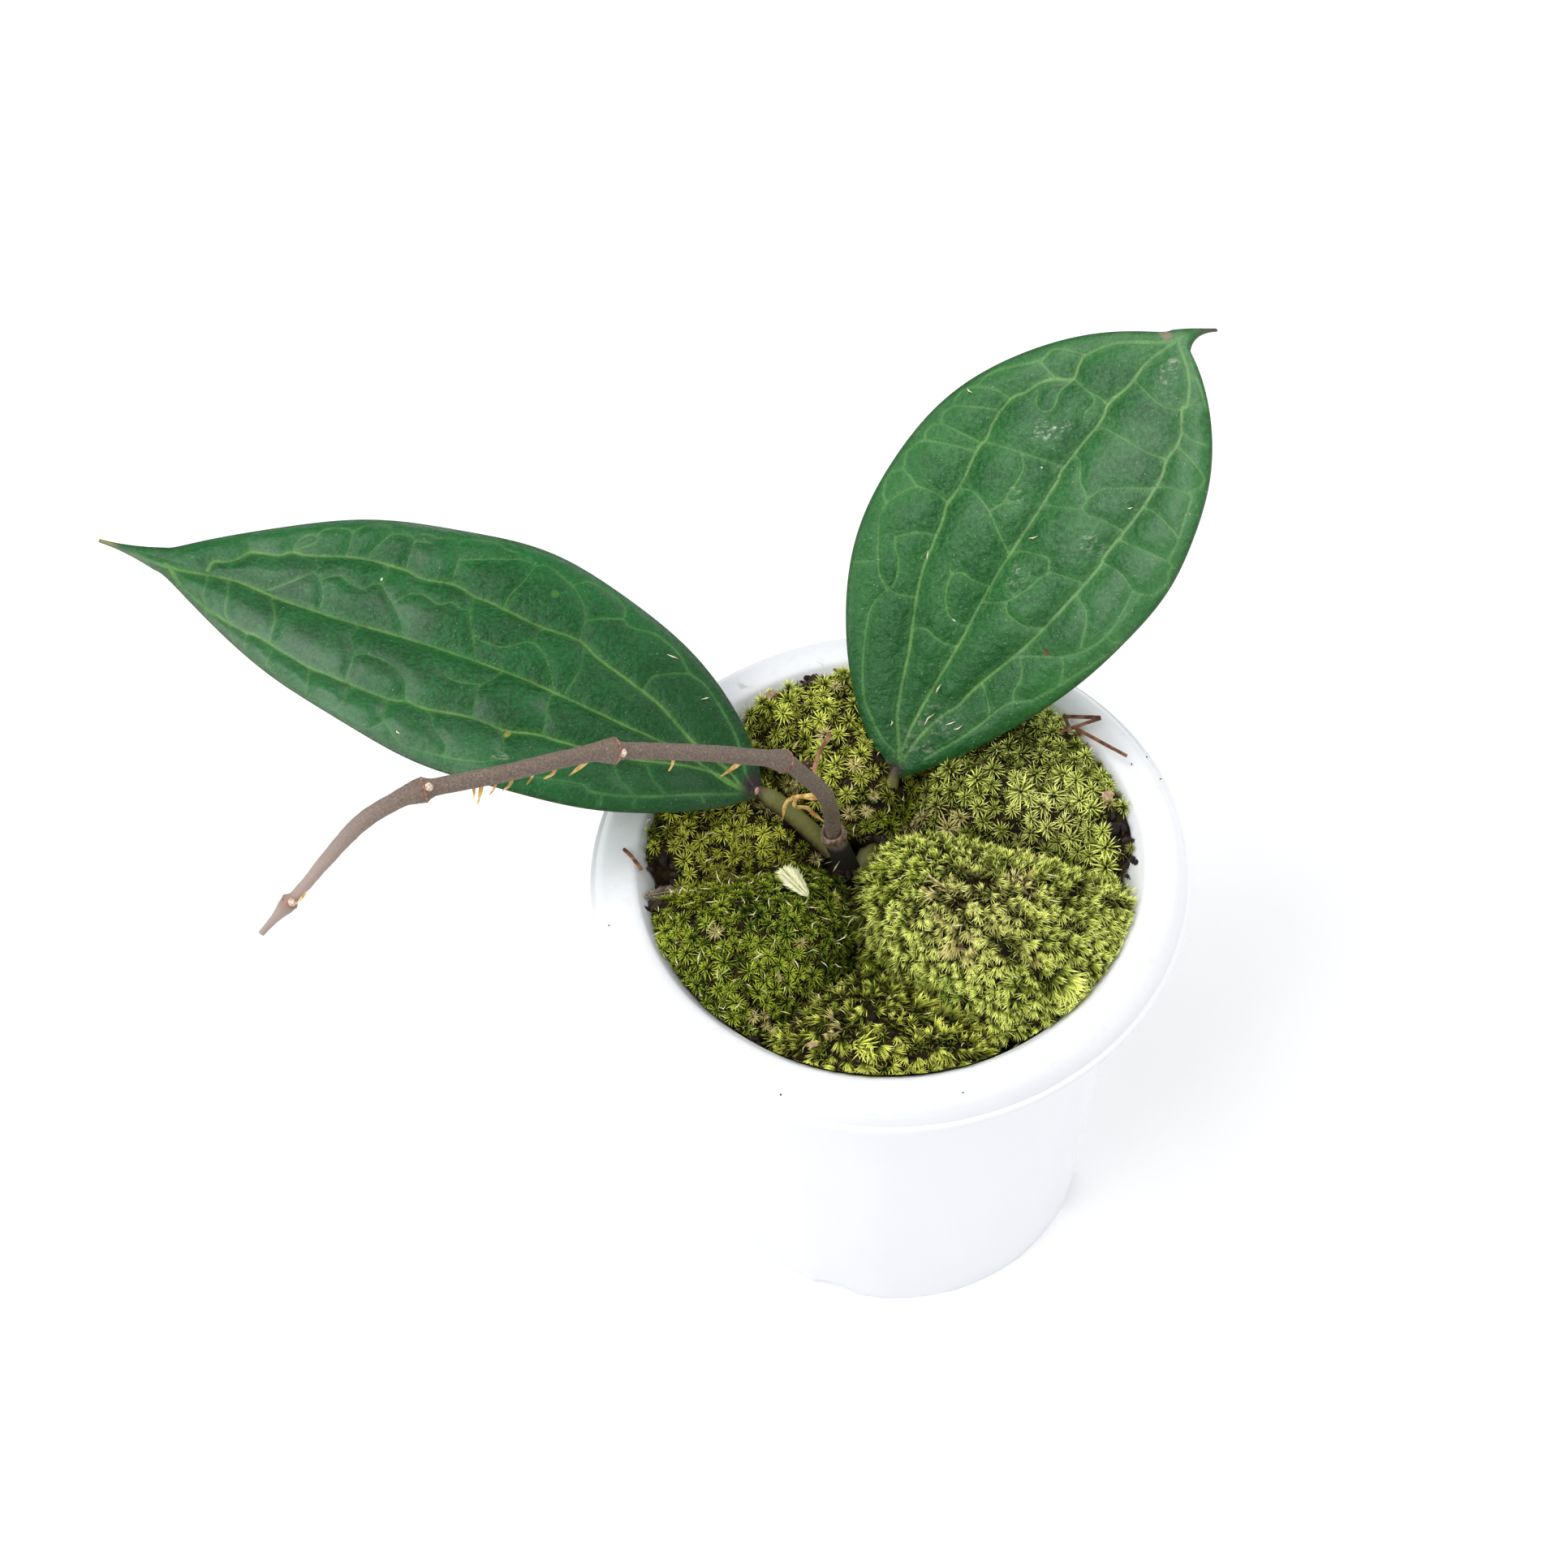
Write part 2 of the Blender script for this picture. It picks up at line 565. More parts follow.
RIGHT_VEINS = [
    [(1100, 925), (1086, 908), (1069, 870), (1064, 844), (1066, 794), (1074, 749), (1092, 727)],
    [(1127, 736), (1110, 733), (1098, 727), (1090, 717), (1084, 701), (1084, 647), (1087, 633),
     (1096, 619), (1112, 607), (1129, 601), (1148, 604), (1166, 617)],
    [(1095, 619), (1090, 611), (1090, 600), (1096, 585), (1115, 578), (1118, 561), (1123, 554),
     (1141, 544), (1179, 548), (1199, 556)],
    [(1115, 578), (1133, 600)],
    [(1142, 543), (1142, 535), (1148, 526), (1163, 523), (1206, 545)],
    [(1163, 523), (1162, 519), (1165, 509), (1179, 502), (1200, 501), (1222, 504), (1231, 508)],
    [(1179, 501), (1178, 492), (1188, 483), (1204, 478), (1227, 480), (1244, 491)],
    [(1204, 478), (1212, 467), (1228, 459), (1281, 445), (1296, 434), (1312, 432), (1339, 436)],
    [(1281, 445), (1299, 465)],
    [(1105, 661), (1131, 656), (1152, 659)],
    [(1105, 661), (1103, 672), (1108, 690), (1106, 712), (1098, 726)],
    [(1052, 694), (1066, 691), (1081, 691)],
    [(1178, 603), (1193, 604), (1205, 610), (1222, 633), (1240, 680)],
    [(1222, 629), (1236, 620), (1258, 616)],
    [(1207, 549), (1216, 545), (1298, 571), (1306, 581)],
    [(1259, 557), (1261, 580), (1236, 620)],
    [(1321, 466), (1341, 482), (1353, 488), (1363, 497)],
    [(1279, 484), (1277, 495), (1280, 504), (1289, 508), (1296, 506), (1302, 497), (1305, 485),
     (1322, 467)],
    [(1344, 484), (1347, 494), (1342, 503), (1336, 508), (1334, 518)],
    [(1172, 700), (1175, 706), (1187, 706), (1200, 716), (1219, 722)],
    [(1175, 706), (1168, 724), (1166, 740), (1170, 756), (1180, 768), (1193, 772)],
    [(1122, 776), (1134, 774), (1145, 777), (1160, 790), (1180, 797)],
    [(1208, 743), (1241, 741), (1269, 724), (1280, 714), (1291, 708), (1303, 707), (1334, 718)],
    [(1241, 741), (1242, 754), (1253, 765), (1264, 770), (1284, 774)],
    [(1245, 681), (1262, 680), (1291, 686), (1295, 697), (1292, 708)],
    [(1282, 622), (1317, 627), (1334, 626), (1350, 609), (1367, 602), (1423, 600)],
    [(1334, 626), (1343, 636), (1358, 640), (1383, 653)],
    [(1341, 618), (1338, 604), (1331, 592), (1333, 570), (1322, 562)],
    [(1349, 529), (1367, 530), (1412, 557), (1437, 565)],
    [(1396, 468), (1431, 500), (1456, 504)],
    [(1462, 498), (1479, 498), (1489, 502)],
    [(1463, 462), (1474, 469), (1484, 499)],
    [(1453, 537), (1458, 533), (1470, 542), (1484, 548)],
    [(1443, 554), (1455, 554), (1481, 590), (1464, 608)],
    [(1424, 600), (1441, 601), (1465, 610), (1466, 619), (1452, 661)],
    [(1409, 623), (1415, 629), (1427, 635), (1450, 661), (1445, 680), (1438, 690)],
    [(1359, 693), (1381, 705), (1396, 725), (1412, 732), (1425, 729), (1437, 717), (1439, 704),
     (1438, 690), (1374, 664)],
    [(1396, 725), (1394, 736), (1363, 783), (1319, 807), (1247, 811)],
    [(1363, 783), (1371, 790), (1381, 789)],
    [(1310, 809), (1311, 822), (1306, 840)],
    [(1381, 790), (1362, 806), (1284, 854), (1266, 862), (1249, 865), (1234, 872), (1189, 906),
     (1139, 935)],
    [(1249, 865), (1250, 851), (1257, 840), (1260, 824), (1257, 814)],
    [(1210, 842), (1219, 870), (1219, 882)],
    [(1325, 732), (1340, 756), (1333, 797)],
]


def set_values(piece, name, values):
    """Stores one number for each point of the piece."""
    layer = piece.data.attributes.new(name, "FLOAT", "POINT")
    layer.data.foreach_set("value", np.asarray(values, np.float32))


def make_blade(name, leaf, nerves, veins):
    bpy.ops.mesh.primitive_grid_add(x_subdivisions=LEAF_ROWS, y_subdivisions=LEAF_COLUMNS, size=1)
    blade = bpy.context.object
    blade.name = name
    even = points_of(blade)[:, :2] * MM + 0.5
    u = 0.5 * even[:, 0] + 0.5 * (0.5 - 0.5 * np.cos(np.pi * even[:, 0]))
    v = 2 * even[:, 1] - 1
    spots = leaf.flat(u, v)
    to_nerve = veins_apart(leaf, spots, lay_on(leaf, nerves))
    to_vein = veins_apart(leaf, spots, lay_on(leaf, veins))
    to_rim = (1 - abs(v)) * leaf.half_width(u, v)
    swell = NERVE_SWELL * (1 - np.exp(-((to_nerve / NERVE_SWELL_REACH) ** 2)))
    swell += VEIN_SWELL * (1 - np.exp(-((np.minimum(to_vein, to_nerve) / VEIN_SWELL_REACH) ** 2)))
    swell *= leaf.slender(u) * (1 - np.exp(-((to_rim / MARGIN_FLAT) ** 2)))
    move_points(blade, leaf.point(u, v, swell))
    layers = {"nerve": to_nerve, "vein": to_vein, "rim": to_rim, "along": u, "aside": v}
    for layer, values in layers.items():
        set_values(blade, layer, values)
    full = blade.vertex_groups.new(name="full")
    thick = MARGIN_SHARE + (1 - MARGIN_SHARE) * np.clip(to_rim / MARGIN_TAPER, 0, 1) ** 0.5
    for level in np.unique(np.round(thick, 2)):
        full.add(np.flatnonzero(np.round(thick, 2) == level).tolist(), float(level), "REPLACE")
    blade.data.materials.append(None)
    blade.data.materials.append(None)
    apply(blade, "SOLIDIFY", thickness=BLADE * MM, offset=0, vertex_group="full", material_offset=1)
    only(blade)
    bpy.ops.object.shade_smooth()
    return blade


# Marks on the blades: u and v, reach along and across, colour, strength, and whether it is scratched

LEFT_MARKS = [
    (0.345, 0.55, 0.006, 0.05, "9a9440", 0.8, False),
    (0.34, 0.78, 0.02, 0.06, "a8b49c", 0.5, True),
    (0.37, -0.66, 0.008, 0.04, "4c8434", 0.5, False),
    (0.62, -0.37, 0.002, 0.02, "e8ecdc", 0.9, False),
    (1, 0, 0.03, 1, "9a8a48", 0.8, False),
    (0, 0, 0.03, 1, "2c1420", 0.9, False),
]
RIGHT_MARKS = [
    (0.65, 0.29, 0.03, 0.1, "c9d0be", 0.7, True),
    (0.67, 0.2, 0.025, 0.08, "d4d8c8", 0.8, True),
    (0.53, 0.15, 0.03, 0.09, "b9c4ac", 0.35, True),
    (0.41, -0.18, 0.04, 0.12, "bac4ae", 0.4, True),
    (0.54, -0.45, 0.03, 0.1, "c4ccb8", 0.4, True),
    (0.89, -0.25, 0.03, 0.18, "ccd0be", 0.7, True),
    (0.325, -0.65, 0.008, 0.025, "7c4434", 0.8, False),
    (0.595, 0.12, 0.002, 0.008, "f0f4e4", 0.9, False),
    (0.285, 0.09, 0.002, 0.015, "f0f4e4", 0.9, False),
    (0.93, 0.7, 0.012, 0.4, "8a7a68", 0.8, False),
    (1, 0, 0.028, 1, "3c2824", 1, False),
    (0.09, -0.25, 0.08, 0.5, "93a088", 0.5, True),
    (0, 0, 0.03, 1, "2a2418", 0.8, False),
]


def leaf_finish(name, deep, light, nerve_colour, vein_colour, dust, shine, hazy_side, marks):
    """Satin green with pale nerves, fine grain, a thin dark rim, a little dust and a waxy bloom. The bloom
    is stronger towards the tip and the hazy side, which is 1 for the left side and -1 for the right one."""
    green = Finish(name, deep, 0.4)
    nerve = green.attribute("nerve")
    vein = green.attribute("vein")
    rim = green.attribute("rim")
    along = green.attribute("along")
    aside = green.attribute("aside")
    blotch = green.noise(9, 4).smooth(0.3, 0.7)
    fleck = green.noise(0.9, 6, roughness=0.7)
    lighter = (blotch * 0.35 + fleck.smooth(0.38, 0.66) * 0.55) * along.smooth(-0.1, 0.45)
    colour = green.mix(lighter, deep, light)
    colour = green.mix(rim.smooth(12, 3) * along.smooth(0.05, 0.3) * 0.3, colour, light)
    fade = 0.45 + green.noise(6, 3).smooth(0.3, 0.7) * 0.55
    vein_line = (vein.smooth(1.5, 0.2) * 0.16 + vein.smooth(0.5, 0.15) * 0.5) * fade
    colour = green.mix(vein_line, colour, vein_colour)
    nerve_line = (nerve.smooth(2, 0.3) * 0.16 + nerve.smooth(0.65, 0.2) * 0.55) * fade
    colour = green.mix(nerve_line, colour, nerve_colour)
    colour = green.mix(rim.smooth(1.6, 0.4) * 0.45, colour, ink("0c3c10"))
    colour = green.mix(rim.smooth(0.25, 0.05) * 0.5, colour, ink("4c4a24"))
    specks = green.noise(0.32, 1, roughness=0.2).smooth(0.76, 0.79)
    colour = green.mix(specks * dust * fade, colour, ink("b4c0ac"))
    scratches = green.noise(1.1, 6, stretch=(2.2, 1, 1), roughness=0.75).smooth(0.5, 0.64)
    for u, v, long, wide, code, strength, scratched in marks:
        spot = (((along - u) / long) ** 2 + ((aside - v) / wide) ** 2).smooth(1.0, 0.2) * strength
        colour = green.mix(spot * scratches if scratched else spot, colour, ink(code))
    green.set("Base Color", colour)
    green.set("Specular IOR Level", 0.3)
    green.set("Roughness", 0.34 + fleck * 0.16)
    bloom = along.smooth(0.1, 0.8) * 0.6 + (aside * hazy_side).smooth(-0.4, 1) * 0.4
    bloom = bloom + green.noise(11, 4).smooth(0.4, 0.75) * 0.4 - 0.2
    green.set("Coat Weight", bloom.smooth(0, 1) * shine)
    green.set("Coat Roughness", 0.36)
    grain = green.bump(green.noise(0.9, 4), 0.2)
    rumple = green.bump(green.noise(3.4, 4, roughness=0.6), 1.1, grain)
    green.set("Normal", green.bump(vein.smooth(0.0, 0.6) + nerve.smooth(0.0, 0.9), 0.15, rumple))
    return green


def under_finish(name, colour, nerve_colour):
    """The paler, duller underside with its raised nerves."""
    pale = Finish(name, colour, 0.6)
    lines = pale.attribute("nerve").smooth(1.0, 0.3) + pale.attribute("vein").smooth(0.6, 0.2) * 0.5
    pale.set("Base Color", pale.mix(lines * 0.7, colour, nerve_colour))
    pale.set("Roughness", 0.55 + pale.noise(1.5, 3) * 0.15)
    pale.set("Normal", pale.bump(lines, 0.25))
    return pale


under = under_finish("leaf_underside", ink("5d8a4c"), ink("8fb070"))
blades = {}
for name, node, slot, leaf, nerves, veins, greens in (
    ("leaf_left_blade", "leaf_left", "leaf_dark", LEFT_LEAF, LEFT_NERVES, LEFT_VEINS,
     (ink("073e12"), ink("1b7030"), ink("6c9c4c"), ink("4c8444"), 0.6, 1.0, 1, LEFT_MARKS)),
    ("leaf_right_blade", "leaf_right", "leaf_pale", RIGHT_LEAF, RIGHT_NERVES, RIGHT_VEINS,
     (ink("165022"), ink("408242"), ink("7cac62"), ink("659c58"), 0.9, 0.6, -1, RIGHT_MARKS)),
):
    blade = make_blade(name, leaf, nerves, veins)
    dress(blade, leaf_finish(slot, *greens), slot, node)
    blade.data.materials.append(under.material)
    blades[node] = blade


# Stem and shoot
# A woody cane comes out of the mix, swells into a corky collar and goes on as one long bare shoot
# that arches to the left, covered with fine brown felt. Its nodes swell into rough rings, and three of
# them carry a round scar.

CANE_ROUTE = [(-6, 4, 55), (-6.3, 4.2, 78), (-7.4, 4.8, 97), (-10, 5.9, 108), (-11.2, 6.5, 113)]
SHOOT_ROUTE = [
    (-11.5, 6, 122), (-12.9, 2.8, 133), (-16.8, 0.5, 143), (-20.6, -2.3, 152), (-27.7, -5.7, 159),
    (-36.2, -8.6, 165), (-52.7, -13.4, 174), (-61.3, -17, 177.5), (-73.3, -22.6, 181.5),
    (-88.1, -25.6, 182), (-94.8, -27.4, 180.5), (-101.1, -30.2, 178), (-107.6, -34.6, 173.5),
    (-111.2, -36.6, 170), (-115.2, -38.2, 166), (-121.3, -41, 160),
]
CANE_RADIUS = 2.4
SHOOT_RADIUS = 1.7
SHOOT_TIP_RADIUS = 0.65
SHOOT_TAPER = 0.035
COLLAR = (-11.2, 6.5, 113)
COLLAR_AXIS = (-0.1, -0.35, 1)
COLLAR_RADIUS = 2.05
COLLAR_THICKNESS = 0.7
COLLAR_STRETCH = 3.4
NODES = {
    (-20.6, -2.3, 152): 2.35,
    (-52.7, -13.4, 174): 2.6,
    (-88.1, -25.6, 182): 2.5,
    (-115.2, -38.2, 166): 1.7,
}
NODE_FLARE = 3.2
NODE_STEP = 0.9
SCARS = {
    (-52.7, -13.4, 174): (0.8, -0.5, 0.3),
    (-88.1, -25.6, 182): (0.5, -0.3, 0.8),
    (-115.2, -38.2, 166): (0.4, -0.5, 0.6),
}
SCAR_RADIUS = 0.62


def tube(name, route, radius_at, sides=16, steps=8):
    """A round, closed tube along a route, its radius given at each point."""
    path = curve_through(route, steps)
    radii = np.array([radius_at(p) for p in path])
    data = bpy.data.curves.new(name, "CURVE")
    data.dimensions = "3D"
    data.bevel_depth = MM
    data.bevel_resolution = sides // 4 - 1
    data.use_fill_caps = True
    spline = data.splines.new("POLY")
    spline.points.add(len(path) - 1)
    for point, place, radius in zip(spline.points, path, radii):
        point.co = (*(place * MM), 1)
        point.radius = radius
    piece = bpy.data.objects.new(name, data)
    bpy.context.collection.objects.link(piece)
    only(piece)
    bpy.ops.object.convert(target="MESH")
    bpy.ops.object.shade_smooth_by_angle(angle=math.radians(50))
    return piece


def stem_radius(place):
    from_tip = np.linalg.norm(place - SHOOT_ROUTE[-1])
    radius = min(SHOOT_RADIUS, SHOOT_TIP_RADIUS + SHOOT_TAPER * from_tip)
    if place[2] < COLLAR[2]:
        radius = CANE_RADIUS
    for middle, swollen in NODES.items():
        beyond = np.linalg.norm(np.array(middle) - SHOOT_ROUTE[-1]) > from_tip
        s = np.linalg.norm(place - np.array(middle)) / (NODE_FLARE if beyond else NODE_STEP)
        radius += max(0, swollen - radius) * math.exp(-s * s)
    return radius


def join(name, pieces):
    """Makes one piece of several."""
    nothing_selected()
    for piece in pieces:
        piece.select_set(True)
    bpy.context.view_layer.objects.active = pieces[0]
    if len(pieces) > 1:
        bpy.ops.object.join()
    pieces[0].name = name
    return pieces[0]


def roughen(piece, size, height):
    """Pushes the surface in and out by soft lumps."""
    lumps = bpy.data.textures.new(piece.name, "CLOUDS")
    lumps.noise_scale = size * MM
    lumps.noise_depth = 2
    apply(piece, "DISPLACE", texture=lumps, strength=height * MM, mid_level=0.5, texture_coords="LOCAL")


def stand_on(piece, place, axis):
    """Moves a piece made at the origin to a place in millimetres and turns its Z axis along axis."""
    turn = Vector(axis).normalized().to_track_quat("Z", "Y").to_matrix().to_4x4()
    piece.matrix_world = Matrix.Translation(Vector(place) * MM) @ turn @ piece.matrix_world
    settle(piece)
    return piece


def ring(radius, thickness, place, axis):
    bpy.ops.mesh.primitive_torus_add(
        major_radius=radius * MM, minor_radius=thickness * MM, major_segments=40, minor_segments=10,
    )
    return stand_on(bpy.context.object, place, axis)


def mottled(name, colours, roughness, blotch, grain, depth):
    """A finish in soft blotches, with a fine grain. Its colours are a plain one, for use where blotches
    can't be drawn, and the dark and the light one of the blotches."""
    plain, dark, light = (ink(code) for code in colours)
    finish = Finish(name, plain, roughness)
    finish.set("Base Color", finish.mix(finish.noise(blotch).smooth(0.35, 0.65), dark, light))
    finish.set("Normal", finish.bump(finish.noise(grain), depth))
    return finish


stem = tube("stem", CANE_ROUTE + SHOOT_ROUTE, stem_radius, 20, 14)
roughen(stem, 1.6, 0.2)

rims = []
for place, swollen in NODES.items():
    i = SHOOT_ROUTE.index(place)
    rims.append(ring(swollen - 0.12, 0.2, place, np.subtract(SHOOT_ROUTE[i + 1], SHOOT_ROUTE[i - 1])))
rims = join("node_rims", rims)
roughen(rims, 1, 0.25)
bpy.ops.object.shade_smooth()

scars = []
for place, facing in SCARS.items():
    seat = Vector(place) + Vector(facing).normalized() * (NODES[place] - 0.35)
    scars.append(ring(SCAR_RADIUS, 0.22, seat, facing))
    bpy.ops.mesh.primitive_uv_sphere_add(segments=16, ring_count=8, radius=SCAR_RADIUS * MM)
    scars.append(stand_on(bpy.context.object, seat, facing))
scars = join("node_scars", scars)
roughen(scars, 0.7, 0.2)
bpy.ops.object.shade_smooth()

collar = ring(COLLAR_RADIUS, COLLAR_THICKNESS, (0, 0, 0), (0, 0, 1))
shape = points_of(collar)
shape[:, 2] *= COLLAR_STRETCH
shape[:, :2] *= 1 + 0.05 * np.cos(3 * np.arctan2(shape[:, 1], shape[:, 0]))[:, None]
move_points(collar, shape)
collar.name = "corky_collar"
stand_on(collar, COLLAR, COLLAR_AXIS)
apply(collar, "SUBSURF", levels=2)
roughen(collar, 1.2, 0.55)

felt = Finish("stem_bark", ink("7d6c61"), 0.85)
felt_grain = felt.noise(0.45, 4)
felt_colour = felt.mix(felt_grain.smooth(0.25, 0.75), ink("62544b"), ink("857568"))
lenticels = felt.noise(0.8, 2, roughness=0.3).smooth(0.64, 0.74)
felt_colour = felt.mix(lenticels * 0.35, felt_colour, ink("a99b8e"))
felt_colour = felt.mix(felt.near(SHOOT_ROUTE[-1], 46) * 0.75, felt_colour, ink("b7a49c"))
for place in NODES:
    felt_colour = felt.mix(felt.near(place, 3.2) * 0.5, felt_colour, ink("80604c"))
in_moss = felt.add("SeparateXYZ", {}, {0: felt.place}, 2).smooth(112 * MM, 110 * MM)
felt_colour = felt.mix(in_moss, felt_colour, ink("1c190e"))
felt.set("Base Color", felt_colour)
felt.set("Roughness", 0.78 + felt_grain * 0.15)
felt.set("Normal", felt.bump(felt.noise(0.35, 4), 0.08))
dress(stem, felt, "stem_bark", "vine_stem")

cork = Finish("collar_cork", ink("8a7458"), 0.9)
fibres = cork.noise(0.8, 5, stretch=(1, 1, 2.5))
cork_colour = cork.mix(fibres.smooth(0.35, 0.65), ink("4e3e2e"), ink("a08a72"))
cork.set("Base Color", cork.mix(cork.noise(2.5, 2).smooth(0.4, 0.7) * 0.4, cork_colour, ink("9a7a6c")))
cork.set("Normal", cork.bump(fibres, 0.4))
dress(collar, cork, "stem_bark")

rust = mottled("node_rust", ("8a5642", "74442f", "b48a78"), 0.8, 0.7, 0.4, 0.1)
dress(rims, rust, "stem_bark")
scar_skin = mottled("scar_cork", ("d9b7a2", "c8a490", "f4e4d4"), 0.7, 0.5, 0.3, 0.08)
dress(scars, scar_skin, "stem_bark")


# Aerial roots
# Thin yellow roots that feel their way out of the shoot's underside, and one dry reddish twig.

ROOTS = [
    [(-13.4, 2.6, 133.5), (-16.3, 3.9, 131), (-18.8, 6.1, 127.5), (-20.6, 7.6, 123.4), (-21.4, 7, 119)],
    [(-18.4, 5.8, 128), (-18.8, 6.4, 124), (-16.3, 7.8, 121.2), (-15, 7.4, 119.4), (-12.9, 6.6, 117.6)],
    [(-12.8, 3.6, 130.5), (-15.2, 4.6, 129), (-18.2, 5.9, 128)],
    [(-28, -5.8, 159), (-29.4, -6, 157), (-33, -7.5, 155.4)],
    [(-41.5, -10, 167.5), (-42, -10.6, 164.6), (-42.8, -11.4, 163.6)],
    [(-57, -15, 175), (-58.8, -15.2, 172.6), (-61.6, -16.6, 171.2)],
    [(-63.5, -18, 178.2), (-64.2, -18.8, 175.6), (-66.2, -19.6, 174.9)],
    [(-67.5, -19.8, 179.6), (-68.2, -20.4, 177), (-69.4, -21.6, 176)],
    [(-71.5, -21.8, 181), (-72.2, -22.8, 178.3), (-73.8, -23.6, 177.4)],
    [(-74.5, -23.2, 181.6), (-75.2, -24, 179), (-76.2, -24.8, 178)],
    [(-77.2, -24.2, 182.4), (-77.8, -24.8, 179.2), (-78.6, -26, 176.6)],
    [(-79, -24.4, 182.4), (-79, -24.9, 179.6), (-79.2, -25.6, 178.2)],
    [(-111, -36.4, 170.2), (-112.4, -38.2, 167.9), (-113.8, -39.4, 166.8)],
]
TWIG = [(-14.7, 2.6, 136.6), (-14.4, 5.4, 138.6), (-13.2, 7.2, 141.4), (-11, 7.6, 146.6)]
ROOT_RADIUS = 0.46
ROOT_TIP_RADIUS = 0.12
ROOT_TAPER = 0.11
TWIG_RADIUS = 0.38


def root_tube(name, route):
    """A root that tapers to its tip."""
    def radius_at(place):
        return min(ROOT_RADIUS, ROOT_TIP_RADIUS + ROOT_TAPER * np.linalg.norm(place - route[-1]))

    return tube(name, route, radius_at, 8, 6)


roots = join("aerial_roots", [root_tube(f"root_{i}", route) for i, route in enumerate(ROOTS)])
roughen(roots, 1.2, 0.2)
root_skin = mottled("root_skin", ("d9a94e", "c08a40", "f4d488"), 0.7, 1.6, 0.4, 0.06)
dress(roots, root_skin, "stem_bark")

twig = tube("dry_twig", TWIG, lambda p: TWIG_RADIUS, 8, 6)
roughen(twig, 0.9, 0.15)
twig_skin = mottled("twig_skin", ("9a4a2c", "8a5a44", "c08c74"), 0.8, 1.5, 0.4, 0.08)
dress(twig, twig_skin, "stem_bark")


# Leaf stalks
# Two stout stalks, olive green above and purple brown below, that run up into the blades. The left one
# ends in a small pink gland where the blade starts.

LEFT_STALK = [
    (-11.6, 6.9, 106.4), (-16, 9.7, 110.6), (-20.4, 12.4, 114.2), (-24.6, 14.4, 117.2),
    (-27.4, 15.5, 118.2),
]
RIGHT_STALK = [
    (-5.8, 6.4, 99.4), (-3, 12.6, 101.2), (-0.8, 18.2, 103.6), (1.6, 22.8, 106.9), (3, 25.6, 109.1),
]
STALK_TIP_RADIUS = 0.75
STALK_SWELL = 1.2
STALK_SWELL_REACH = 4.5
GLAND = (-26.4, 13.6, 120)
GLAND_SIZE = (0.42, 0.85, 0.4)


def stalk_tube(name, route):
    """A stalk that narrows into the blade over its last few millimetres."""
    def radius_at(place):
        from_tip = min(1, np.linalg.norm(place - route[-1]) / STALK_SWELL_REACH)
        return STALK_TIP_RADIUS + STALK_SWELL * from_tip**0.8

    return tube(name, route, radius_at, 20, 10)


stalks = []
for name, node, route in (
    ("stalk_left", "petiole_left", LEFT_STALK),
    ("stalk_right", "petiole_right", RIGHT_STALK),
):
    stalk = stalk_tube(name, route)
    roughen(stalk, 2.4, 0.25)
    skin = Finish(name, ink("4c4b26"), 0.5)
    facing = skin.add("SeparateXYZ", {}, {0: skin.add("NewGeometry", {}, {}, "Normal")}, 2)
    skin_colour = skin.mix(facing.smooth(-0.3, 0.7), ink("3d2f22"), ink("66682e"))
    skin_colour = skin.mix(skin.noise(0.6, 4).smooth(0.45, 0.7) * 0.5, skin_colour, ink("7c7548"))
    skin_colour = skin.mix(skin.near(route[-1], STALK_SWELL_REACH) * 0.8, skin_colour, ink("3a1c22"))
    skin.set("Base Color", skin_colour)
    skin.set("Roughness", 0.45 + skin.noise(1, 3) * 0.25)
    skin.set("Normal", skin.bump(skin.noise(0.5, 4), 0.1))
    dress(stalk, skin, "leaf_stalk", node)
    stalks.append(stalk)

bpy.ops.mesh.primitive_uv_sphere_add(segments=24, ring_count=12, radius=MM)
gland = bpy.context.object
gland.name = "leaf_gland"
move_points(gland, points_of(gland) * GLAND_SIZE)
stand_on(gland, GLAND, (-0.2, -0.5, 0.85))
roughen(gland, 0.8, 0.15)
bpy.ops.object.shade_smooth()
gland_skin = Finish("gland_skin", ink("b98478"), 0.6)
gland_blotches = gland_skin.noise(0.5).smooth(0.35, 0.65)
gland_skin.set("Base Color", gland_skin.mix(gland_blotches, ink("9a6a60"), ink("d8a898")))
dress(gland, gland_skin, "leaf_stalk")


# Moss
# Six cushions of living moss over the mix. Each is a mass of short shoots with whorls of narrow,
# pointed leaves. On the front and front right cushions the leaves of a shoot sweep downhill like a
# comb, and on the others they spread into stars. Older, browner shoots fill the gaps below.

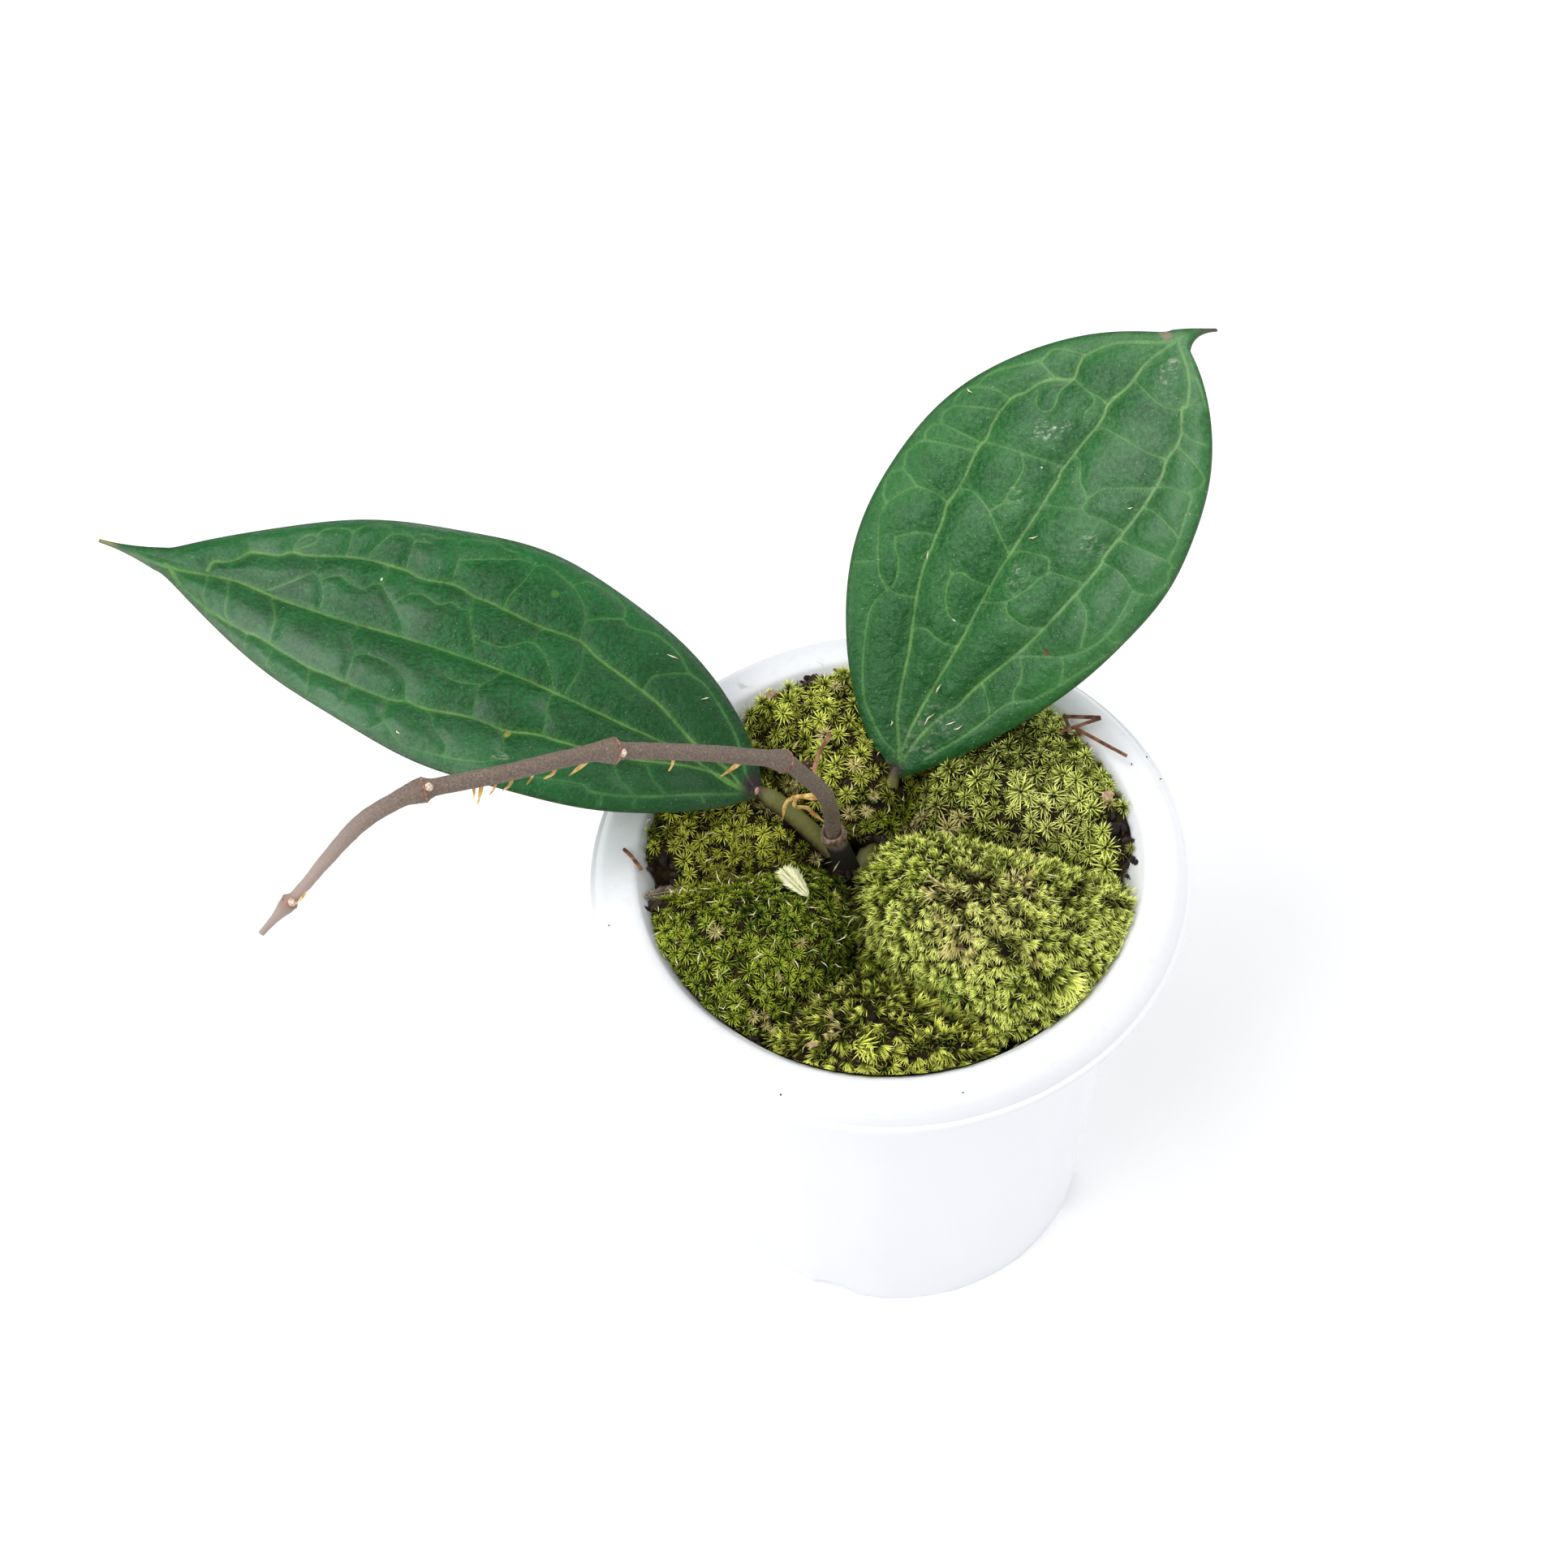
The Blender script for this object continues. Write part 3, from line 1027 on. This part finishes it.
SHOOT_SHAPES = 8
STAR = ((80, 360, 1.0, 0.1, 14), (56, 360, 0.95, 0.3, 12), (28, 360, 0.7, 0.5, 7))
COMB = ((30, 60, 0.9, 0.6, 4), (52, 80, 1.15, 0.35, 6), (76, 120, 1.1, 0.1, 7))
LOW = ((50, 360, 0.7, 0.0, 8),)
MOSS = {
    "moss_front_left": {
        "whorls": STAR, "leaf": 2.1, "width": 0.26, "gap": 2.1, "sweep": 0.35, "lumpy": 0.7,
        "glow": 0.16, "colours": ("050901", "6c9e08", "e4ec58"),
        "patches": [((-42, -5, 113), 14, "a8b428", 0.6), ((-20, -15, 116), 12, "2c6004", 0.5)],
    },
    "moss_front_right": {
        "whorls": COMB, "leaf": 2.7, "width": 0.29, "gap": 1.24, "sweep": 1.0, "lumpy": 0.25,
        "glow": 0.48, "colours": ("0a1001", "c8e41c", "f8fa94"),
        "patches": [
            ((16, -19, 118), 17, "f0e490", 0.5), ((0, -2, 116), 14, "a8c014", 0.5),
            ((6, -37, 112), 11, "70c030", 0.6),
        ],
    },
    "moss_right": {
        "whorls": STAR, "leaf": 2.7, "width": 0.3, "gap": 2.55, "sweep": 0.3, "lumpy": 1.2,
        "glow": 0.55, "colours": ("070d01", "cce824", "fafc98"),
        "patches": [((32, 7, 117), 14, "f4f4a0", 0.5), ((25, 26, 113), 13, "344808", 0.6)],
    },
    "moss_back": {
        "whorls": STAR, "leaf": 2.4, "width": 0.32, "gap": 2.6, "sweep": 0.3, "lumpy": 1.1,
        "glow": 0.4, "colours": ("070c01", "d0ec10", "fffc88"),
        "patches": [((0, 17, 113), 10, "8c7c40", 0.6)],
    },
    "moss_left": {
        "whorls": STAR, "leaf": 2.1, "width": 0.29, "gap": 2.2, "sweep": 0.4, "lumpy": 0.9,
        "glow": 0.22, "colours": ("060a01", "a8c40c", "fcf870"),
        "patches": [((-27, 16, 112), 10, "6c6430", 0.6), ((-42, 5, 112), 10, "c0c050", 0.4)],
    },
    "moss_front": {
        "whorls": COMB, "leaf": 2.6, "width": 0.3, "gap": 1.6, "sweep": 0.75, "lumpy": 0.8,
        "glow": 0.3, "colours": ("080e01", "b4d010", "fcf880"),
        "patches": [((-12, -28, 112), 9, "3c4c10", 0.6)],
    },
}
FILLER_GAP = 1.8
BARE_SPOTS = [
    (-47, 3, 3.2), (-13.5, 48, 2.4), (-0.3, 10.8, 2), (-9, 2.5, 2.2), (47, 6, 2), (49, -4, 2.4),
    (47.5, 3, 2.6), (-21.1, -33.4, 2.2), (-48.5, -7, 2.2), (-30, -38, 1.6),
]
BIG_TUFTS = {
    "moss_front_right": [(30.3, -33)],
    "moss_front": [(4.5, -33.6), (2.8, -37), (8.2, -38.4), (-8, -46)],
    "moss_front_left": [(-40, -2), (-36, 0)],
}
BROWN_TUFTS = {
    "moss_front_right": [(9.7, -12.5), (26.2, -12.4), (29.6, -2), (13, -24)],
    "moss_back": [(-18, 24), (-1.3, 16.8), (-5.2, 14.9), (-7, 25.8), (-12.6, 32.5)],
    "moss_front": [(-14, -41)],
    "moss_right": [(14, 12), (40, 32), (8, 14), (45, 10)],
    "moss_left": [(-27.8, 17.3), (-24, 14), (-44, 3)],
    "moss_front_left": [(-27.8, -34), (-16, -30)],
}
CREVICE_TOP = 111
CREVICE_DEPTH = 6
CREVICE_REACH = 41
WALL_REACH = 46
WALL_GAP = 0.4
BIG_TUFT_REACH = 2
BROWN_TUFT_REACH = 2.3
STRAW_SHARE = 0.012
PLANT_GAP = 1.1

LEAF_POINTS = np.array([(0, 0, 0), (-0.35, 1, 0.42), (-0.35, -1, 0.42), (0.65, 0, 0.42), (0, 0, 1)])
LEAF_FACES = np.array([(1, 2, 4), (2, 3, 4), (3, 1, 4), (2, 1, 0), (3, 2, 0), (1, 3, 0)])


def unit(vectors):
    return vectors / np.maximum(np.linalg.norm(vectors, axis=-1, keepdims=True), 1e-9)


def whorl(length, width, lean, arc, foot, count):
    """Narrow, keeled leaves that lean out from a shoot and bend back, over an arc round it in degrees."""
    deep, wide, along = LEAF_POINTS.T
    points = []
    for i in range(count):
        long = length * chance.uniform(0.8, 1.15)
        angle = math.radians(lean + chance.uniform(-9, 9))
        angle = angle + math.radians(chance.uniform(10, 40)) * (along - 0.5)
        out = along * long * np.sin(angle) + 0.3 * width * deep * np.cos(angle)
        up = along * long * np.cos(angle) - 0.3 * width * deep * np.sin(angle) + foot
        turn = math.radians(arc) * ((i + 0.5 + chance.uniform(-0.3, 0.3)) / count - 0.5)
        side = wide * width / 2
        x = out * math.cos(turn) - side * math.sin(turn)
        y = out * math.sin(turn) + side * math.cos(turn)
        points.append(np.stack([x, y, up], axis=1))
    return np.vstack(points)


def make_shoot(kind, whorls):
    """One shoot. The lengths and heights of its whorls are shares of the moss's leaf length."""
    leaf = kind["leaf"]
    made = []
    for lean, arc, long, foot, count in whorls:
        made.append(whorl(leaf * long, kind["width"], lean, arc, leaf * foot, count))
    return np.vstack(made)


def spread_over(corners, gap, keep):
    """Seeds at least gap apart on the triangles that face upwards. keep says which places are free."""
    a, b, c = corners[:, 0], corners[:, 1], corners[:, 2]
    cross = np.cross(b - a, c - a)
    area = np.linalg.norm(cross, axis=1) / 2
    normal = unit(cross)
    area *= normal[:, 2] > 0.12
    tries = int(area.sum() / gap**2 * 5)
    pick = chance.choice(len(area), tries, p=area / area.sum())
    r, s = np.sqrt(chance.random(tries)), chance.random(tries)
    places = (1 - r)[:, None] * a[pick] + (r * (1 - s))[:, None] * b[pick] + (r * s)[:, None] * c[pick]
    taken = {}
    chosen = []
    for i, place in enumerate(places):
        cell = (place // gap).astype(int)
        near_cells = [tuple(cell + [x, y, z]) for x in (-1, 0, 1) for y in (-1, 0, 1) for z in (-1, 0, 1)]
        if all(np.sum((taken[n] - place) ** 2) > gap * gap for n in near_cells if n in taken):
            taken[tuple(cell)] = place
            if keep(place):
                chosen.append(i)
    return places[chosen], normal[pick[chosen]]


def plant_shoots(seeds, axis, facing, shapes, size):
    """Copies of the shapes on the seeds. Each stands along its axis and is turned to face its own way."""
    facing = unit(facing - axis * np.sum(facing * axis, axis=1, keepdims=True))
    stand = np.stack([facing, np.cross(axis, facing), axis], axis=1)
    which = chance.integers(len(shapes), size=len(seeds))
    turned = np.einsum("npk,nkm->npm", np.array(shapes)[which], stand) * size[:, None, None]
    return (seeds[:, None, :] + turned).reshape(-1, 3)


plant = [points_of(piece) for piece in (stem, roots, *stalks)]
plant = np.vstack(plant + [points_of(blades["leaf_right"])[::7]])
plant = plant[(plant[:, 2] > 100) & (plant[:, 2] < 122)]
plant_tree = KDTree(len(plant))
for i, place in enumerate(plant):
    plant_tree.insert(place, i)
plant_tree.balance()


def near_spots(places, spots, reach):
    """Which of the places lie within reach of one of the spots, seen from above."""
    near = np.zeros(len(places), bool)
    for x, y in spots:
        near |= np.hypot(places[:, 0] - x, places[:, 1] - y) < reach
    return near


def free_place(place):
    if any(math.hypot(place[0] - x, place[1] - y) < reach for x, y, reach in BARE_SPOTS):
        return False
    return plant_tree.find(place)[2] > PLANT_GAP


def make_ground(node, kind):
    """A lumpy copy of the cushion's solid, as points and triangles."""
    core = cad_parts[node].copy()
    core.data = core.data.copy()
    core.parent = None
    bpy.context.collection.objects.link(core)
    clean(core)
    apply(core, "SUBSURF", subdivision_type="SIMPLE", levels=1)
    apply(core, "TRIANGULATE")
    roughen(core, 5, 0.6 + kind["lumpy"])
    ground = points_of(core)
    core_faces = np.array([list(f.vertices) for f in core.data.polygons])
    bpy.data.objects.remove(core)
    return ground, core_faces


def cover(node, kind, ground, core_faces, shapes, gap, age):
    """Plants one layer of shoots. Gives its points, and for each of them its tint and its age."""
    seeds, normals = spread_over(ground[core_faces], gap, free_place)
    radial = unit(seeds * [1, 1, 0])
    downhill = unit(normals * [1, 1, 0] + 0.12 * unit((seeds - ground.mean(axis=0)) * [1, 1, 0]))
    at_wall = np.clip((np.linalg.norm(seeds[:, :2], axis=1) - WALL_REACH) / 4, 0, 1)[:, None]
    axis = normals + [0, 0, 0.4] + kind["sweep"] * downhill - 0.8 * at_wall * radial
    axis = unit(axis + chance.normal(0, 0.16, seeds.shape))
    if kind["whorls"] is COMB:
        facing = downhill + chance.normal(0, 0.3, seeds.shape)
    else:
        facing = chance.normal(0, 1, seeds.shape)
    x, y, z = seeds.T
    swell = np.sin(x * 0.9 + 2 * np.sin(y * 0.35)) * np.sin(y * 0.8 + x * 0.2)
    swell *= kind["lumpy"]
    size = chance.uniform(0.75, 1.15, len(seeds)) * (1 + 0.25 * swell)
    is_straw = chance.random(len(seeds)) < STRAW_SHARE
    tint = np.where(is_straw, 1, chance.uniform(0, 0.96, len(seeds)))
    deep = np.clip((CREVICE_TOP - z) / CREVICE_DEPTH, 0, 1) * (np.hypot(x, y) < CREVICE_REACH)
    deep = np.maximum(deep, np.clip(-1.5 * swell - 0.5, 0, 0.7))
    if not age:
        big = near_spots(seeds, BIG_TUFTS.get(node, []), BIG_TUFT_REACH)
        size[big] *= 1.8
        tint[big] = 0.95
        tint[near_spots(seeds, BROWN_TUFTS.get(node, []), BROWN_TUFT_REACH)] = 1
    made = plant_shoots(seeds - axis * 0.5, axis, facing, shapes, size)
    out = np.hypot(made[:, 0], made[:, 1])
    room = inside_radius(made[:, 2]) - WALL_GAP
    made[:, :2] *= np.minimum(1, room / np.maximum(out, 1))[:, None]
    each = len(shapes[0])
    return made, np.repeat(tint, each), np.repeat(np.maximum(deep, age), each)


def make_moss(node, kind):
    """A cushion covered with tall shoots and, between them, low brown ones."""
    ground, core_faces = make_ground(node, kind)
    tall = [make_shoot(kind, kind["whorls"]) for _ in range(SHOOT_SHAPES)]
    low = [make_shoot(kind, LOW) for _ in range(SHOOT_SHAPES)]
    layers = [
        cover(node, kind, ground, core_faces, shapes, gap, age)
        for shapes, gap, age in ((tall, kind["gap"], 0), (low, FILLER_GAP, 1))
    ]
    points, tints, ages = zip(*layers)
    leaves = np.vstack(points)
    starts = np.arange(0, len(leaves), len(LEAF_POINTS))
    leaf_faces = (LEAF_FACES[None] + starts[:, None, None]).reshape(-1, 3)
    faces = np.vstack([leaf_faces, core_faces + len(leaves)])
    everything = np.vstack([leaves, ground - [0, 0, 0.7]])

    data = bpy.data.meshes.new(node)
    data.vertices.add(len(everything))
    data.vertices.foreach_set("co", (everything * MM).ravel())
    data.loops.add(faces.size)
    data.loops.foreach_set("vertex_index", faces.ravel())
    data.polygons.add(len(faces))
    data.polygons.foreach_set("loop_start", np.arange(0, faces.size, 3))
    data.update(calc_edges=True)
    data.shade_flat()
    piece = bpy.data.objects.new(node + "_shoots", data)
    bpy.context.collection.objects.link(piece)
    varied = np.repeat(chance.random(len(starts)), len(LEAF_POINTS))
    for layer, values, on_ground in (
        ("tip", np.tile(LEAF_POINTS[:, 2], len(starts)), -1.0),
        ("tint", np.concatenate(tints), 0.5),
        ("age", np.concatenate(ages), 1.0),
        ("varied", varied, 0.5),
    ):
        set_values(piece, layer, np.concatenate([values, np.full(len(ground), on_ground)]))
    return piece, ground[core_faces]


def moss_finish(name, kind):
    """Dark at the foot of each leaf, green along it and pale at its tip, in blotches of older and younger
    moss. The thin tips shine a little, as if light came through them."""
    dark, green, pale = (ink(code) for code in kind["colours"])
    moss = Finish(name, green, 0.75)
    tip = moss.attribute("tip")
    tint = moss.attribute("tint")
    age = moss.attribute("age")
    varied = moss.attribute("varied")
    patch = moss.noise(13, 3).smooth(0.36, 0.64) * 0.6 + moss.noise(4.5, 2).smooth(0.36, 0.64) * 0.4
    bright = (patch * 0.35 + tint * 0.3 + varied * 0.35).smooth(0.12, 0.68)
    fresh = moss.mix(bright, moss.mix(0.78, green, dark), moss.mix(0.45, green, pale))
    for place, reach, code, strength in kind["patches"]:
        fresh = moss.mix(moss.near(place, reach) * strength, fresh, ink(code))
    colour = moss.mix(tip.smooth(0.12, 0.75), dark, fresh)
    colour = moss.mix(tip.smooth(0.5, 1) * bright, colour, pale)
    old = moss.mix(tint.smooth(0.5, 0.9), moss.mix(0.6, green, dark), ink("5c4a24"))
    colour = moss.mix(age * (0.7 + tint * 0.25), colour, moss.mix(tip.smooth(0.2, 1), ink("080703"), old))
    dead = moss.mix(varied, ink("a89048"), ink("eae0a4"))
    colour = moss.mix(tint.smooth(0.965, 0.975) * tip.smooth(0, 0.5) * 0.9, colour, dead)
    bare = moss.mix(moss.noise(2, 4).smooth(0.4, 0.6), ink("0c0804"), ink("2a200d"))
    colour = moss.mix(tip.smooth(-0.5, -0.9), colour, bare)
    moss.set("Base Color", colour)
    moss.set("Emission Color", moss.mix(tip.smooth(0.45, 1) * bright * (1 - age), ink("000000"), pale))
    moss.set("Emission Strength", kind["glow"])
    moss.set("Roughness", 0.6 + tint * 0.2)
    moss.set("Specular IOR Level", 0.12)
    return moss


moss_ground = []
for node, kind in MOSS.items():
    cushion, corners = make_moss(node, kind)
    dress(cushion, moss_finish(node, kind), "moss", node)
    moss_ground.append(corners)


# Litter
# What has dropped on the moss and the leaves: straw-coloured dead needles, flakes of bark, crumbs of
# soil where no moss grows, red-brown twigs on the rim and two loose feathery sprigs.

NEEDLES_APART = {
    "moss_front_left": 3.2,
    "moss_front_right": 7,
    "moss_right": 7,
    "moss_back": 5.5,
    "moss_left": 4.5,
    "moss_front": 5,
}
FLAKES_APART = 15
CRUMBS_A_SPOT = 16
BIG_FLAKES = [
    (-16.2, 25.4, 4.2, 0.5), (-22.3, 43.2, 4, 0.9), (-18.4, -43.8, 2.6, 1), (-24, -27.4, 2, 0.95),
    (46, 12, 3, 0.95),
]
LIP_CRUMBS = [
    (-25, -54.5), (10.8, -56.5), (51.7, 20.4), (57.3, 16.2), (-58, -12), (35, 45), (28, 50), (-40, 39),
    (55, 22),
]
FALLEN_TWIG_RADIUS = 0.42
TWIGS = [
    [(38.5, 32.4, 113.9), (46, 30.2, 115.8)],
    [(46.1, 30, 115.8), (37, 28.4, 113.8)],
    [(40.5, 28.8, 114.6), (50.6, 20.8, 114.6)],
    [(38.8, 33.4, 113), (39.4, 28, 115.3)],
    [(-54.4, 5.8, 113.2), (-52.8, 3.6, 113.4), (-50.9, 1.2, 112)],
]

# The two ends of each bit on a leaf, as u and v of one and u and v of the other

LEFT_LEAF_BITS = [
    (0.47, 0.43, 0.48, 0.3), (0.12, -0.6, 0.11, -0.71), (0.17, -0.79, 0.19, -0.74),
    (0.49, 0.88, 0.5, 0.86), (0.495, 0.76, 0.5, 0.73),
]
RIGHT_LEAF_BITS = [
    (0.61, 0.42, 0.61, 0.33), (0.35, 0.44, 0.365, 0.46), (0.62, 0.94, 0.62, 0.88),
    (0.48, -0.08, 0.495, -0.13), (0.1, -0.15, 0.13, -0.19), (0.12, -0.4, 0.135, -0.48),
    (0.12, -0.53, 0.135, -0.58), (0.64, -0.52, 0.65, -0.55), (0.075, 0.35, 0.085, 0.34),
    (0.16, -0.07, 0.18, -0.075), (0.36, -0.3, 0.37, -0.32),
]
BIT_HEIGHT = 1.75

surface = np.vstack(moss_ground).reshape(-1, 3)
surface = surface[surface[:, 2] > 104]
surface_tree = KDTree(len(surface))
for i, (x, y, z) in enumerate(surface):
    surface_tree.insert((x, y, 0), i)
surface_tree.balance()


def on_moss(x, y, above=0.0):
    """The place above x, y on top of the moss."""
    return np.array([x, y, surface[surface_tree.find((x, y, 0))[1]][2] + above])


def needle(foot, tip, bend, width):
    """A dry needle from foot to tip that is bent in the middle."""
    middle = (foot + tip) / 2 + bend
    along = unit(tip - foot)
    side = unit(np.cross(along, [0.3, 0.2, 1])) * width / 2
    keel = np.cross(side, along)
    return np.array([foot, middle + side, middle - side, middle + keel, tip])


def needle_piece(name, needles, tints):
    """One mesh of many needles, each with its own tint."""
    points = np.vstack(needles)
    faces = np.vstack([LEAF_FACES + len(LEAF_POINTS) * i for i in range(len(needles))])
    piece = mesh_piece(name, points, faces.tolist())
    set_values(piece, "tint", np.repeat(tints, len(LEAF_POINTS)))
    clean(piece, 30)
    return piece


def sprig(foot, tip, width, pairs):
    """A feathery shoot that lies flat: a stalk with four rows of needles that point forwards."""
    along = unit(tip - foot)
    side = np.cross([0, 0, 1], along)
    made = [needle(foot, tip, np.array([0, 0, 0.8]), 0.7)]
    for i in range(pairs):
        t = (i + 0.5) / pairs
        root = foot + (tip - foot) * t * 0.9 + [0, 0, 0.5]
        reach = width / 2 * math.sin(math.pi * (0.12 + 0.76 * t)) * chance.uniform(0.85, 1.15)
        for row in (-1, -0.45, 0.45, 1):
            end = root + side * row * reach + along * reach * 1.2 + [0, 0, (1.1 - abs(row)) * reach * 0.9]
            made.append(needle(root, end, np.array([0, 0, 0.3]), 0.45))
    return made


bpy.ops.mesh.primitive_ico_sphere_add(subdivisions=1, radius=0.5 * MM)
round_lump = bpy.context.object
LUMP_POINTS = points_of(round_lump)
LUMP_FACES = np.array([list(f.vertices) for f in round_lump.data.polygons])
bpy.data.objects.remove(round_lump)


def lump(place, size, flat):
    """A small, uneven crumb or flake."""
    squeezed = LUMP_POINTS * size * [1, chance.uniform(0.4, 0.9), flat]
    shape = squeezed * chance.uniform(0.75, 1.25, (len(LUMP_POINTS), 1))
    turn = Matrix.Rotation(chance.uniform(0, 6.3), 3, "Z")
    turn = turn @ Matrix.Rotation(chance.uniform(-0.5, 0.5), 3, "X")
    return shape @ np.array(turn) + place


def lump_piece(name, lumps, tints):
    faces = np.vstack([LUMP_FACES + len(LUMP_POINTS) * i for i in range(len(lumps))])
    piece = mesh_piece(name, np.vstack(lumps), faces.tolist())
    set_values(piece, "tint", np.repeat(tints, len(LUMP_POINTS)))
    clean(piece, 25)
    return piece


needles = []
for node, corners in zip(MOSS, moss_ground):
    for place in spread_over(corners, NEEDLES_APART[node], free_place)[0]:
        heading = chance.uniform(0, 2 * math.pi)
        length = chance.uniform(1, 3.4)
        along = np.array([math.cos(heading), math.sin(heading), chance.uniform(-0.15, 0.45)]) * length
        foot = place + [0, 0, chance.uniform(1.2, 2.2)]
        needles.append(needle(foot, foot + along, chance.normal(0, 0.3, 3), chance.uniform(0.2, 0.34)))
straw = needle_piece("dead_needles", needles, chance.random(len(needles)))
dry = Finish("dead_needles", ink("c9b98c"), 0.7)
dry_tint = dry.attribute("tint")
browner = dry.mix(dry_tint.smooth(0.6, 1), ink("d0cc88"), ink("8e7048"))
dry.set("Base Color", dry.mix(dry_tint.smooth(0, 0.6), browner, ink("f4e8c0")))
dress(straw, dry, "moss")

for name, foot, tip, width, pairs, roughness, plain, dark, light in (
    ("pale_sprig", (-17.2, -11.2, 2.2), (-22.2, -2.4, 2.6), 5.4, 26, 0.65, "e4e2b0", "d8dc9c", "f6f2d8"),
    ("grey_sprig", (-51, -4.6, 1), (-43.6, -0.6, 1.6), 4.4, 14, 0.8, "8c8270", "6c604c", "b4a68c"),
):
    made = sprig(on_moss(*foot), on_moss(*tip), width, pairs)
    feather = needle_piece(name, made, chance.random(len(made)))
    feather_skin = Finish(name, ink(plain), roughness)
    feather_tint = feather_skin.attribute("tint").smooth(0, 1)
    feather_skin.set("Base Color", feather_skin.mix(feather_tint, ink(dark), ink(light)))
    dress(feather, feather_skin, "moss")

bits = []
for leaf, places in ((LEFT_LEAF, LEFT_LEAF_BITS), (RIGHT_LEAF, RIGHT_LEAF_BITS)):
    for u, v, end_u, end_v in places:
        ends = leaf.point(np.array([u, end_u]), np.array([v, end_v]), BIT_HEIGHT)
        bits.append(needle(ends[0], ends[1], chance.normal(0, 0.25, 3) * [1, 1, 0.2], 0.4))
leaf_bits = needle_piece("bits_on_leaves", bits, chance.uniform(0.3, 0.7, len(bits)))
dress(leaf_bits, dry, "moss")

lumps, tints = [], []
for corners in moss_ground:
    for place in spread_over(corners, FLAKES_APART, free_place)[0]:
        lumps.append(lump(place + [0, 0, 1.3], chance.uniform(0.7, 1.6), 0.3))
        tints.append(chance.uniform(0.35, 0.85))
for x, y, reach in BARE_SPOTS:
    for _ in range(CRUMBS_A_SPOT):
        turn = chance.uniform(0, 2 * math.pi)
        away = reach * math.sqrt(chance.random())
        spot = on_moss(x + away * math.cos(turn), y + away * math.sin(turn), -0.2)
        lumps.append(lump(spot, chance.uniform(0.9, 2.4), 0.8))
        tints.append(chance.uniform(0, 0.42))
for x, y, size, tint in BIG_FLAKES:
    lumps.append(lump(on_moss(x, y, 1.6), size, 0.3))
    tints.append(tint)
for x, y in LIP_CRUMBS:
    lumps.append(lump(np.array([x, y, POT_HEIGHT + 0.1]), 0.55, 0.6))
    tints.append(chance.uniform(0, 0.3))
crumbs = lump_piece("flakes_and_crumbs", lumps, np.array(tints))
soil = Finish("flakes_and_crumbs", ink("3a281c"), 0.85)
soil_tint = soil.attribute("tint")
soil_colour = soil.mix(soil_tint.smooth(0, 0.4), ink("100b07"), ink("3a281c"))
soil_colour = soil.mix(soil_tint.smooth(0.4, 0.6), soil_colour, ink("5c3424"))
soil_colour = soil.mix(soil_tint.smooth(0.75, 0.95), soil_colour, ink("c8a888"))
soil.set("Base Color", soil.mix(soil.noise(0.8, 4).smooth(0.3, 0.7) * 0.5, soil_colour, ink("20140e")))
soil.set("Normal", soil.bump(soil.noise(0.5, 4), 0.15))
dress(crumbs, soil, "growing_mix")

fallen = [tube(f"twig_{i}", route, lambda p: FALLEN_TWIG_RADIUS, 8, 5) for i, route in enumerate(TWIGS)]
twigs = join("fallen_twigs", fallen)
roughen(twigs, 1, 0.2)
bark = Finish("twig_bark", ink("6e4632"), 0.8)
streaks = bark.noise(1.2, 4, stretch=(2, 1, 1)).smooth(0.35, 0.65)
bark.set("Base Color", bark.mix(streaks, ink("5a3020"), ink("9a6a4c")))
bark.set("Normal", bark.bump(bark.noise(0.5, 4), 0.12))
dress(twigs, bark, "stem_bark")


# Stage
# A plain white floor, soft light from all round and five large lamps: above, behind, left, right and
# in front.

bpy.ops.mesh.primitive_plane_add(size=12, location=(0, 0, -0.0001))
floor = bpy.context.object
floor.name = "floor"
settle(floor)
paper = Finish("white_paper", (0.95, 0.95, 0.95), 0.7)
paper.set("Emission Color", (0.95, 0.97, 1))
paper.set("Emission Strength", 0.17)
floor.data.materials.append(paper.material)

world = bpy.data.worlds.new("soft_light")
world.use_nodes = True
world.node_tree.nodes["Background"].inputs["Color"].default_value = (0.97, 0.985, 1, 1)
world.node_tree.nodes["Background"].inputs["Strength"].default_value = 0.28
bpy.context.scene.world = world


def lamp(name, place, aim, size, power):
    data = bpy.data.lights.new(name, "AREA")
    data.size = size
    data.energy = power
    light = bpy.data.objects.new(name, data)
    bpy.context.collection.objects.link(light)
    light.location = place
    light.rotation_euler = (Vector(aim) - Vector(place)).to_track_quat("-Z", "Y").to_euler()


lamp("overhead", (-0.3, 0.3, 1.25), (0, 0, 0.1), 0.7, 5.5)
lamp("behind", (0.9, 0.9, 0.7), (0, 0, 0.1), 0.9, 6)
lamp("left", (-0.8, -0.42, 1.0), (0, 0, 0.1), 1.0, 8.5)
lamp("right", (1.2, -0.35, 0.45), (0, 0, 0.12), 0.9, 4.5)
lamp("front", (-0.35, -0.9, 1.2), (0, 0, 0.1), 1.2, 4.8)


# Camera
# The picture looks down on the pot from the front, turned a little about its own line of sight.

SENSOR_WIDTH = 36

bpy.ops.object.camera_add()
camera = bpy.context.object
turned = Matrix((view_right, view_up, view_back)).transposed().to_4x4()
camera.matrix_world = Matrix.Translation((VIEW_CENTRE + VIEW_DISTANCE * view_back) * MM) @ turned
camera.data.sensor_width = SENSOR_WIDTH
camera.data.lens = SENSOR_WIDTH * FOCAL_PIXELS / PICTURE_PIXELS
bpy.context.scene.camera = camera
bpy.context.scene.view_settings.view_transform = "Standard"
